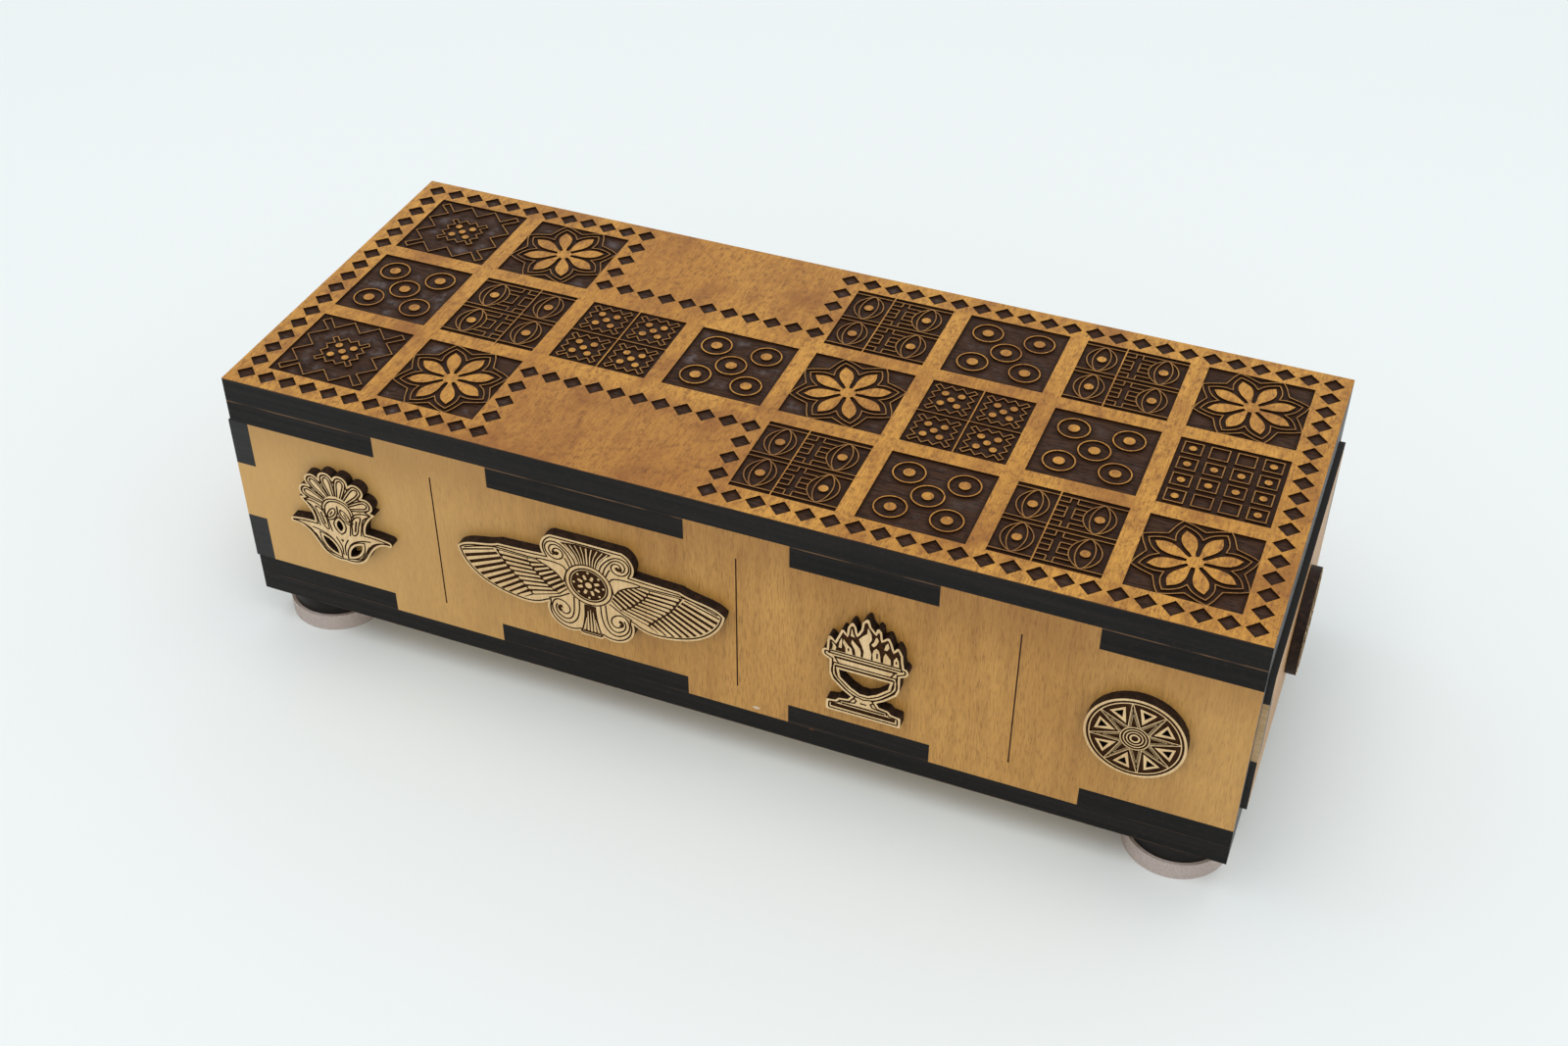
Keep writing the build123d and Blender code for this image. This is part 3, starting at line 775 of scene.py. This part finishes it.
# Grooves of the ornaments: depth, usual width, width amid the scrolls and in the star's rim, and how far
# the rim lies from the edge
groove_depth = 0.3
groove_w = 0.46
core_w = 1.05
star_rim_w = 0.6
rim_w = 0.8

# Their light lines: round the holes, plumes, bars of the tail, ring of the disc, and the star
hole_rim_w = 0.75
plume_w = 0.27
middle_plume_w = 0.42
tail_bar_w, tail_root_w = 0.66, 0.15
disc_ring_w = 0.22
star_arm_w = 0.21
star_nested_w = 0.09
star_ring_w = 0.28
star_hub_w = 0.45


def face_outlines(name, across, out, origin):
    """Outlines of a solid's outermost flat face round an origin: the outer one first, then its holes."""
    mesh = nodes[name].data
    spots = [v.co / mm - Vector(origin) for v in mesh.vertices]
    reach = max(spot.dot(out) for spot in spots)
    flat = [tuple(round(c, 3) for c in (spot.dot(across), spot.z)) for spot in spots]
    onward = {}
    sides = set()
    for face in mesh.polygons:
        if all(reach - spots[i].dot(out) < 0.01 for i in face.vertices):
            ring = [flat[i] for i in face.vertices]
            sides.update(zip(ring, ring[1:] + ring[:1]))
    for a, b in sides:
        if (b, a) not in sides:
            onward[a] = b
    outlines = []
    while onward:
        a, b = onward.popitem()
        outline = [a]
        while b != a:
            outline.append(b)
            b = onward.pop(b)
        outlines.append(outline)
    return sorted(outlines, key=lambda points: -abs(area(points)))


def inset(outline, amount, step=0.35):
    """A line along the inside of an outline that runs anticlockwise, or outside one that runs clockwise.
    Points that come too near to another side are left out, so that narrow corners stay clean."""
    sides = [(Vector(a), Vector(b)) for a, b in zip(outline, outline[1:] + outline[:1])]
    line = []
    for (a, b), (_, after) in zip(sides, sides[1:] + sides[:1]):
        way, turned_way = (b - a).normalized(), (after - b).normalized()
        mean = (way + turned_way).normalized()
        count = max(1, round((b - a).length / step))
        spots = [a.lerp(b, (i + 0.5) / count) + Vector((-way.y, way.x)) * amount for i in range(count)]
        spots.append(b + Vector((-mean.y, mean.x)) * amount / max(0.6, mean.dot(way)))
        for spot in spots:
            if all((spot - nearest(spot, c, d)).length > 0.97 * amount for c, d in sides):
                line.append(tuple(spot))
    return line


def lay_both_ways(plate, outline, kind):
    """Lays an outline and its mirror image."""
    for side in (outline, mirrored(outline)):
        plate.lay(side, kind)


def stroke_both_ways(plate, line, width, kind="sunk"):
    """Lays a ribbon along a line and along its mirror image."""
    for side in (line, mirrored(line)):
        plate.stroke(side, width, kind)


def capsule(root, tip, width, root_width=None):
    """A bar with a rounded tip, of one width or narrower at its root."""
    a, b = Vector(root), Vector(tip)
    way = (b - a).normalized()
    side = Vector((-way.y, way.x)) * width / 2
    root_side = side if root_width is None else side * root_width / width
    outline = [a - root_side, b - side]
    for turn in (-60, -30, 0, 30, 60):
        t = math.radians(turn)
        outline.append(b + way * math.cos(t) * width / 2 + side * math.sin(t))
    return [tuple(p) for p in outline + [b + side, a + root_side]]


def along_line(line, share):
    """The point at a share of a line's length."""
    line = [Vector(p) for p in line]
    lengths = [(b - a).length for a, b in zip(line, line[1:])]
    left = share * sum(lengths)
    for a, b, length in zip(line, line[1:], lengths):
        if left <= length:
            return tuple(a.lerp(b, left / length))
        left -= length
    return tuple(line[-1])


def lay_tier(plate, roots, tips, count, width, length):
    """A dark tier of light feathers, on both wings. length is the share of the tier that they cover."""
    roots, tips = smooth(roots), smooth(tips)
    lay_both_ways(plate, roots + tips[::-1], "sunk")
    for i in range(count):
        share = (i + 0.5) / count
        root, tip = Vector(along_line(roots, share)), Vector(along_line(tips, share))
        lay_both_ways(plate, capsule(root, root.lerp(tip, length), width, 0.6 * width), "top")


def draw_lotus(plate):
    """Petals with slender leaves, a dome with two leaves, and outlined calyx and big leaves."""
    hub = 18.4
    petal = ((4.4, 0.95), (7.0, 1.45), (9.0, 1.62))
    leaf = ((4.4, 0.4), (7.0, 0.7), (8.8, 0.9))
    for turn, reach in ((13, 12.3), (40, 12.8), (67, 12.2)):
        for way in (-1, 1):
            for half, tip in ((petal, 0.85), (leaf, 1.6)):
                top = (reach - tip - 0.7, half[-1][1] * 0.85)
                upper = smooth(list(half) + [top, (reach - tip, 0)])
                line = upper + [(u, -v) for u, v in reversed(upper[:-1])]
                plate.stroke(moved(turned(line, 90 - way * turn), 0, hub), groove_w, "sunk")
    domes = (
        ((5.0, 16.4), (4.5, 19.2), (2.7, 21.2), (0, 21.9)),
        ((4.1, 16.6), (3.7, 18.8), (2.2, 20.5), (0, 21.1)),
    )
    for dome in domes:
        half = smooth(dome)
        plate.stroke(half + mirrored(half[::-1])[1:], groove_w, "sunk")
    lines = (
        ((0.9, 18.6), (2.2, 17.9), (3.3, 16.2), (3.2, 14.8), (1.9, 15.6), (0.8, 17.2), (0.9, 18.6)),
        ((1.8, 17.3), (2.6, 15.8)),
        ((0, 19.6), (0.2, 17.0), (1.3, 15.0), (3.2, 14.0), (4.6, 14.9)),
        ((0, 15.9), (1.5, 14.1), (1.9, 12.4), (1.2, 10.7), (0, 9.7)),
        ((10.4, 19.1), (7.8, 19.1), (5.0, 17.8), (3.8, 15.2), (2.8, 9.9)),
        ((10.2, 18.9), (8.0, 17.2), (7.1, 14.6), (6.4, 10.9)),
        ((3.6, 10.6), (4.2, 15.3), (5.5, 17.2), (7.0, 17.4), (6.1, 14.4), (5.5, 11.9), (4.4, 10.5),
         (3.6, 10.6)),
        ((0.9, 1.2), (1.2, 4.0), (3.0, 7.2), (6.0, 9.0), (9.2, 9.7)),
        ((8.0, 6.4), (9.8, 8.8), (12.4, 10.1), (14.8, 10.5)),
        ((2.4, 1.5), (5.2, 2.3), (7.0, 4.9), (8.6, 7.7)),
        ((0.4, 2.2), (0.5, 5.4), (1.9, 8.3)),
    )
    for line in lines:
        stroke_both_ways(plate, smooth(line), groove_w)
    lay_both_ways(plate, capsule((5.6, 16.0), (4.75, 12.1), 0.6), "sunk")
    plate.lay([(-0.6, 7.9), (0.6, 7.9), (0, 6.8)], "sunk")


def draw_winged_disc(plate):
    """A rosette disc, pale shoulders, three tiers of feathers, scrolls, crest plumes and a tail fan."""
    first = ((14.4, 4.1), (11.2, 2.5), (8.9, 0.9), (7.4, -1.0), (6.3, -3.4))
    second = ((18.0, 4.2), (16.4, 0.8), (13.8, -2.1), (12.0, -4.0), (8.8, -5.9))
    third = ((27.0, 4.2), (25.2, 1.0), (23.2, -2.0), (20.0, -5.4), (16.9, -8.8))
    last = ((37.3, 1.0), (35.8, -2.4), (32.3, -6.2), (27.8, -8.9), (23.0, -10.2), (19.6, -10.4))
    lay_tier(plate, ((27.6, 4.0),) + third[1:], last, 10, 1.12, 0.97)
    lay_tier(plate, second, third, 9, 0.96, 0.88)
    lay_tier(plate, first, second, 8, 0.76, 0.86)
    lines = (
        ((14.8, 4.5), (20.0, 4.55), (27.0, 4.6), (32.0, 3.4), (36.6, 1.7)),
        ((6.1, 3.2), (7.6, 4.6), (11.3, 5.0), (15.0, 4.5), (11.2, 2.6), (8.9, 1.0), (7.4, -1.0), (6.8, 1.0),
         (6.1, 3.2)),
        ((3.4, 5.9), (4.1, 8.0), (6.2, 10.6), (8.5, 12.0), (10.8, 11.7), (12.0, 10.0), (11.7, 8.0),
         (10.4, 6.6), (8.7, 6.3), (7.3, 7.1), (6.9, 8.4), (7.5, 9.6), (8.8, 10.0), (9.7, 9.2), (9.4, 8.2),
         (8.6, 8.3)),
        ((4.4, 5.2), (4.9, 6.9), (5.8, 8.7), (7.2, 10.4), (8.8, 11.1), (10.2, 10.7), (10.9, 9.4),
         (10.5, 8.0), (9.6, 7.5)),
        ((5.2, 4.6), (5.9, 6.3), (6.5, 7.4)),
        ((3.1, -6.2), (3.3, -9.9), (4.1, -13.0), (5.9, -15.1), (8.1, -15.3), (10.3, -13.7), (11.3, -11.2),
         (10.9, -9.0), (9.6, -7.8), (7.8, -8.0), (6.4, -9.3), (6.1, -11.0), (7.2, -12.3), (8.8, -11.7),
         (9.2, -10.4), (8.3, -9.8)),
        ((4.6, -5.4), (4.7, -8.4), (5.0, -11.2), (5.9, -13.3), (7.6, -14.0), (9.5, -12.9), (10.2, -11.0),
         (9.8, -9.4)),
        ((5.8, -4.6), (8.8, -6.6), (12.2, -8.2)),
        ((1.5, -7.0), (1.7, -11.0), (2.3, -14.6), (3.1, -17.2)),
    )
    for line in lines:
        stroke_both_ways(plate, smooth(line), groove_w)
    crest_core = ((9.8, 8.9), (9.4, 8.2), (8.7, 8.2), (8.4, 8.9))
    tail_core = ((8.7, -11.7), (9.2, -10.9), (9.0, -10.2), (8.3, -9.9))
    for core in (crest_core, tail_core):
        stroke_both_ways(plate, smooth(core), core_w)
    crest = [(2.8, 6.5), (3.7, 8.9), (5.4, 11.1), (7.4, 12.6), (3.0, 13.2)]
    plate.lay(mirrored(crest) + crest[::-1], "sunk")
    plate.stroke([(0, 6.5), (0, 12.6)], middle_plume_w)
    plumes = (
        ((0.75, 6.5), (0.95, 9.8), (1.6, 12.7)),
        ((1.4, 6.5), (1.9, 9.6), (3.2, 12.6)),
        ((2.0, 6.5), (2.8, 9.4), (4.7, 12.4)),
        ((2.6, 6.5), (3.7, 9.4), (6.1, 12.3)),
    )
    for plume in plumes:
        stroke_both_ways(plate, smooth(plume), plume_w, "top")
    plate.lay([(-1.4, -7.0), (1.4, -7.0), (1.7, -12.4), (2.6, -16.9), (-2.6, -16.9), (-1.7, -12.4)], "sunk")
    for root, tip in (((0, -8.6), (0, -16.0)), ((0.75, -9.2), (1.0, -15.9)), ((1.2, -11.6), (2.05, -15.9))):
        lay_both_ways(plate, capsule(root, tip, tail_bar_w, tail_root_w), "top")
    plate.lay(circle(0, 0, 7.0), "sunk")
    plate.lay(circle(0, 0, 6.55), "top")
    plate.lay(circle(0, 0, 5.75), "sunk")
    plate.stroke(circle(0, 0, 5.1), disc_ring_w, "top", closed=True)
    plate.lay(circle(0, 0, 0.95), "top")
    for k in range(8):
        plate.lay(turned(capsule((1.9, 0), (3.0, 0), 0.85), 22.5 + 45 * k), "top")
        plate.lay(turned(circle(4.25, 0, 0.35, 12), 45 * k), "top")


def draw_fire_altar(plate):
    """Flames with tongues, rim bands, a doubled cup and a stepped foot."""
    flame_foot = 20.9
    plate.lay([(u, v) for u, v in inset(plate.first_outline(), rim_w) if v > flame_foot], "sunk")
    tongues = (
        ((-0.6, 20.9), (-0.4, 23.2), (-1.0, 25.0), (-1.8, 26.9), (-0.9, 28.2), (0.3, 29.4), (0.5, 31.5),
         (1.4, 29.6), (1.6, 27.9), (0.9, 26.2), (1.1, 24.6), (1.6, 23.0), (1.5, 20.9)),
        ((-2.5, 20.9), (-2.8, 23.0), (-3.8, 25.0), (-3.6, 26.2), (-2.6, 25.0), (-1.6, 24.0), (-1.2, 22.6),
         (-1.2, 20.9)),
        ((-5.2, 20.9), (-5.3, 22.8), (-6.0, 24.4), (-5.8, 25.6), (-4.6, 23.9), (-3.7, 23.1), (-3.3, 20.9)),
        ((-8.8, 20.9), (-8.6, 22.8), (-9.0, 24.0), (-8.2, 23.2), (-7.7, 22.2), (-8.0, 20.9)),
        ((-7.1, 22.4), (-6.8, 24.6), (-6.4, 26.8), (-6.2, 24.6), (-6.3, 22.4)),
        ((-4.8, 26.9), (-4.5, 28.8), (-3.8, 30.3), (-3.4, 28.4), (-2.9, 27.1), (-3.8, 27.3)),
        ((2.1, 20.9), (1.9, 23.2), (2.2, 24.6), (2.9, 25.4), (3.6, 24.6), (3.9, 23.0), (4.1, 20.9)),
        ((1.5, 26.2), (2.2, 27.3), (2.8, 29.6), (3.4, 28.0), (2.8, 26.4), (2.1, 25.6)),
        ((4.8, 20.9), (4.8, 23.2), (5.3, 24.6), (6.0, 23.7), (6.7, 22.7), (6.8, 20.9)),
        ((4.9, 25.6), (5.2, 27.2), (5.9, 28.4), (6.2, 26.6), (5.7, 25.6)),
        ((7.5, 20.9), (7.5, 23.0), (8.2, 24.3), (8.8, 23.0), (9.0, 20.9)),
    )
    for tongue in tongues:
        plate.lay(list(tongue), "top")
    for slot in (((3.1, 22.0), (3.1, 23.6)), ((-4.4, 22.0), (-4.5, 22.8)), ((8.2, 21.9), (8.2, 22.6))):
        plate.lay(capsule(*slot, 0.45), "sunk")
    bands = ((20.75, -9.3, 9.4, 0.48), (19.85, -9.9, 10.0, 0.48), (18.85, -8.2, 8.6, 0.7))
    for v, left, right, width in bands:
        plate.stroke([(left, v), (right, v)], width, "sunk")
    cups = (
        ((8.3, 16.9), (8.75, 14.0), (8.0, 12.0), (5.6, 9.3), (3.0, 7.3), (0, 6.5)),
        ((7.6, 16.0), (7.8, 14.0), (7.2, 12.3), (5.0, 9.9), (2.6, 8.2), (0, 7.5)),
    )
    for cup in cups:
        half = smooth(cup)
        plate.stroke(half + mirrored(half[::-1])[1:], groove_w, "sunk", closed=True)
    lines = (
        ((7.9, 18.6), (7.2, 17.4), (6.7, 16.7)),
        ((2.7, 6.2), (1.9, 5.5), (2.4, 4.5), (4.3, 4.2), (6.2, 4.1), (6.3, 3.2)),
    )
    for line in lines:
        stroke_both_ways(plate, line, groove_w)
    plate.lay([(-8.8, 1.5), (8.7, 1.5), (8.7, 2.8), (-8.8, 2.8)], "sunk")
    plate.lay([(-5.9, 3.1), (5.8, 3.1), (5.8, 3.7), (-5.9, 3.7)], "sunk")
    plate.lay([(-0.9, 4.7), (0.9, 4.7), (0.9, 5.2), (-0.9, 5.2)], "sunk")


def fan(size, reach, root, middle, turn):
    """Three points: a root on a ray from the middle, and an end on each side of it."""
    reach *= size
    return [polar(reach, middle - turn), polar(size * root, middle), polar(reach, middle + turn)]


def draw_star_disc(plate, size=1.0):
    """An eight-pointed star with nested lines round a ringed middle, in a double rim."""
    plate.stroke(circle(0, 0, size * 11.75, 72), star_rim_w, "sunk", closed=True)
    plate.lay(circle(0, 0, size * 11.15, 72), "sunk")
    for k in range(8):
        middle = 31.5 + 45 * k
        plate.stroke(fan(size, 11.4, 3.9, middle, 22.1), star_arm_w)
        for root, reach, turn in ((3.3, 9.4, 21.6), (2.8, 7.8, 22.0)):
            plate.stroke(fan(size, reach, root, middle, turn), star_nested_w)
        low, root, high = fan(size, 10.1, 5.1, middle, 12.4)
        plate.lay([root, high, low], "top")
    plate.lay(circle(0, 0, size * 3.85), "sunk")
    for radius in (3.6, 2.8, 2.0):
        plate.stroke(circle(0, 0, size * radius), star_ring_w, closed=True)
    plate.stroke(circle(0, 0, size * 1.1, 24), star_hub_w, closed=True)


def draw_pull(plate):
    """The star disc of the drawer's pull, a little larger."""
    draw_star_disc(plate, pull_r / star_r)


# Name, place as a share of the board's length, height over z_field, drawing, and whether its edge is grooved
ornaments = (
    ("lotus", 0.1143, 10.0, draw_lotus, True),
    ("winged_disc", 0.3836, 25.9, draw_winged_disc, True),
    ("fire_altar", 0.6574, 5.9, draw_fire_altar, True),
    ("star_disc", 0.9036, 24.9, draw_star_disc, False),
)


def make_ornament(node, draw, rimmed, origin, across, out, body):
    """A glued ornament with engraved lines, in the place and outline of its solid."""
    across, out = Vector(across), Vector(out)
    outlines = face_outlines(node, across, out, origin)
    outer, holes = outlines[0], outlines[1:]
    if area(outer) < 0:
        outer = outer[::-1]
    plate = Plate()
    plate.lay(outer, "top")
    draw(plate)
    if rimmed:
        plate.stroke(inset(outer, rim_w), groove_w, "sunk", closed=True)
    for hole in holes:
        if area(hole) > 0:
            hole = hole[::-1]
        if rimmed:
            plate.stroke(inset(hole, rim_w), groove_w, "sunk", closed=True)
            plate.stroke(inset(hole, hole_rim_w / 3, 1.0), hole_rim_w, "top", closed=True)
        plate.lay(hole, "hole")

    def place(u, v, w):
        return Vector(origin) + across * u + Vector((0, 0, v)) + out * w

    piece = relief(node + "_engraved", plate, place, ornament_t, groove_depth, ornament_materials)
    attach(piece, body)
    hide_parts(node)


def groove_material():
    """Brown laser lines of the ornaments."""
    shader = Shader("ornament_groove", 0.75, Specular_IOR_Level=0.1)
    smoke = shader.noise(900.0, 3.0)
    shader.color(shader.mix(shader.ramp(smoke, 0.35, 0.7), srgb(46, 24, 6), srgb(70, 41, 14)))
    shader.bump(smoke, mottle_bump)
    return shader.material


def scorched_material():
    """Scorched cut walls of the thin ply ornaments."""
    shader = Shader("ornament_edge", 0.6, Specular_IOR_Level=0.2)
    soot = shader.noise(700.0, 4.0, (1, 1, 1), 0.65)
    shader.color(shader.mix(shader.ramp(soot, 0.4, 0.7), srgb(30, 20, 15), srgb(54, 37, 28)))
    shader.bump(soot, rough_bump)
    return shader.material


ornament_face_material = plain_wood("ornament_face", "Z", ornament_tones, 0.6, 0.2)
ornament_materials = [ornament_face_material, groove_material(), scorched_material()]
for name, share, lift, draw, rimmed in ornaments:
    x = x_left + share * (x_right - x_left)
    z = z_field + lift
    make_ornament("front_" + name, draw, rimmed, (x, y_front, z), (1, 0, 0), (0, -1, 0), "case")
    make_ornament("back_" + name, draw, rimmed, (x, y_back, z), (-1, 0, 0), (0, 1, 0), "case")
make_ornament("drawer_pull", draw_pull, False, (x_face, 0, z_pull), (0, 1, 0), (1, 0, 0), "drawer")


# Plain finishes of the solids that stay

def dress(material, *names):
    """Gives solids one material."""
    for name in names:
        mesh = nodes[name].data
        mesh.materials.clear()
        mesh.materials.append(material)


def felt_material():
    """Felt of the foot pads, with short pale and dark hairs."""
    shader = Shader("felt_pad", 0.95)
    hairs = shader.noise(2600.0, 3.0, (1, 1, 1), 0.7)
    clumps = shader.noise(500.0, 3.0, (1, 1, 1), 0.6)
    color = shader.mix(shader.ramp(hairs, 0.35, 0.7), srgb(184, 168, 160), srgb(214, 201, 193))
    color = shader.mix(shader.ramp(clumps, 0.4, 0.7, 0.0, 0.4), color, srgb(192, 175, 166))
    shader.color(color)
    shader.bump(hairs, felt_bump)
    return shader.material


dress(front_ply, "front_panel", "back_panel")
dress(end_ply, "end_panel", "drawer_front")
dress(drawer_x_ply, "drawer_back", "drawer_divider_1", "drawer_divider_2")
dress(drawer_y_ply, "drawer_side_front", "drawer_side_back")
dress(drawer_z_ply, "drawer_bottom")
dress(deck_ply, "top_deck")
dress(floor_ply, "floor_panel")
dress(base_ply, "base_plate")
dress(burnt_edge_material, *[f"foot_disc_{i}" for i in range(1, 5)])
dress(felt_material(), *[f"foot_pad_{i}" for i in range(1, 5)])
dress(plain_wood("dark_piece", "X", piece_tones, 0.4), *[f"dark_piece_{i}" for i in range(1, 8)])
dress(plain_wood("light_piece", "X", inside_tones, 0.45), *[f"light_piece_{i}" for i in range(1, 8)])
dress(plain_wood("die_birch", "X", inside_tones, 0.45), *[f"die_{i}" for i in range(1, 5)])


# Floor and light, in metres
floor_half = 6
world_tone = (0.97, 0.99, 1.0, 1.0)
world_strength = 0.78
lamp_place = (0.1, -0.3, 1.8)
lamp_aim = (0, 0, 0.05)
lamp_size = 1.6
lamp_power = 12.5

# Camera, solved from the board's corners: place in metres, turns round X, Y and Z in degrees, and lens
camera_place = (0.15435, -0.39903, 0.38934)
camera_turns = (50.443, -0.2323, 21.7229)
camera_lens = 45.22
sensor_width = 36

floor = bpy.data.meshes.new("floor")
floor.from_pydata([(x, y, 0) for x, y in square_corners(floor_half)], [], [(0, 1, 2, 3)])
floor_shader = Shader("pale_floor", 0.8)
floor_shader.surface.inputs["Base Color"].default_value = srgb(237, 242, 242)
floor_shader.surface.inputs["Specular IOR Level"].default_value = 0.1
floor.materials.append(floor_shader.material)
floor_piece = bpy.data.objects.new("floor", floor)
bpy.context.scene.collection.objects.link(floor_piece)

world = bpy.data.worlds.new("studio")
bpy.context.scene.world = world
world.use_nodes = True
world.node_tree.nodes["Background"].inputs["Color"].default_value = world_tone
world.node_tree.nodes["Background"].inputs["Strength"].default_value = world_strength


def soft_lamp(name, place, aim, size, power):
    """A square lamp that looks at a point."""
    lamp = bpy.data.lights.new(name, "AREA")
    lamp.size = size
    lamp.energy = power
    holder = bpy.data.objects.new(name, lamp)
    holder.location = place
    holder.rotation_euler = (Vector(aim) - Vector(place)).to_track_quat("-Z", "Y").to_euler()
    bpy.context.scene.collection.objects.link(holder)


soft_lamp("key_lamp", lamp_place, lamp_aim, lamp_size, lamp_power)

camera = bpy.data.cameras.new("camera")
camera.sensor_width = sensor_width
camera.lens = camera_lens
camera_holder = bpy.data.objects.new("camera", camera)
aim = Euler([math.radians(degrees) for degrees in camera_turns])
camera_holder.matrix_world = Matrix.LocRotScale(Vector(camera_place), aim, None)
bpy.context.scene.collection.objects.link(camera_holder)
bpy.context.scene.camera = camera_holder
bpy.context.scene.view_settings.view_transform = "Standard"
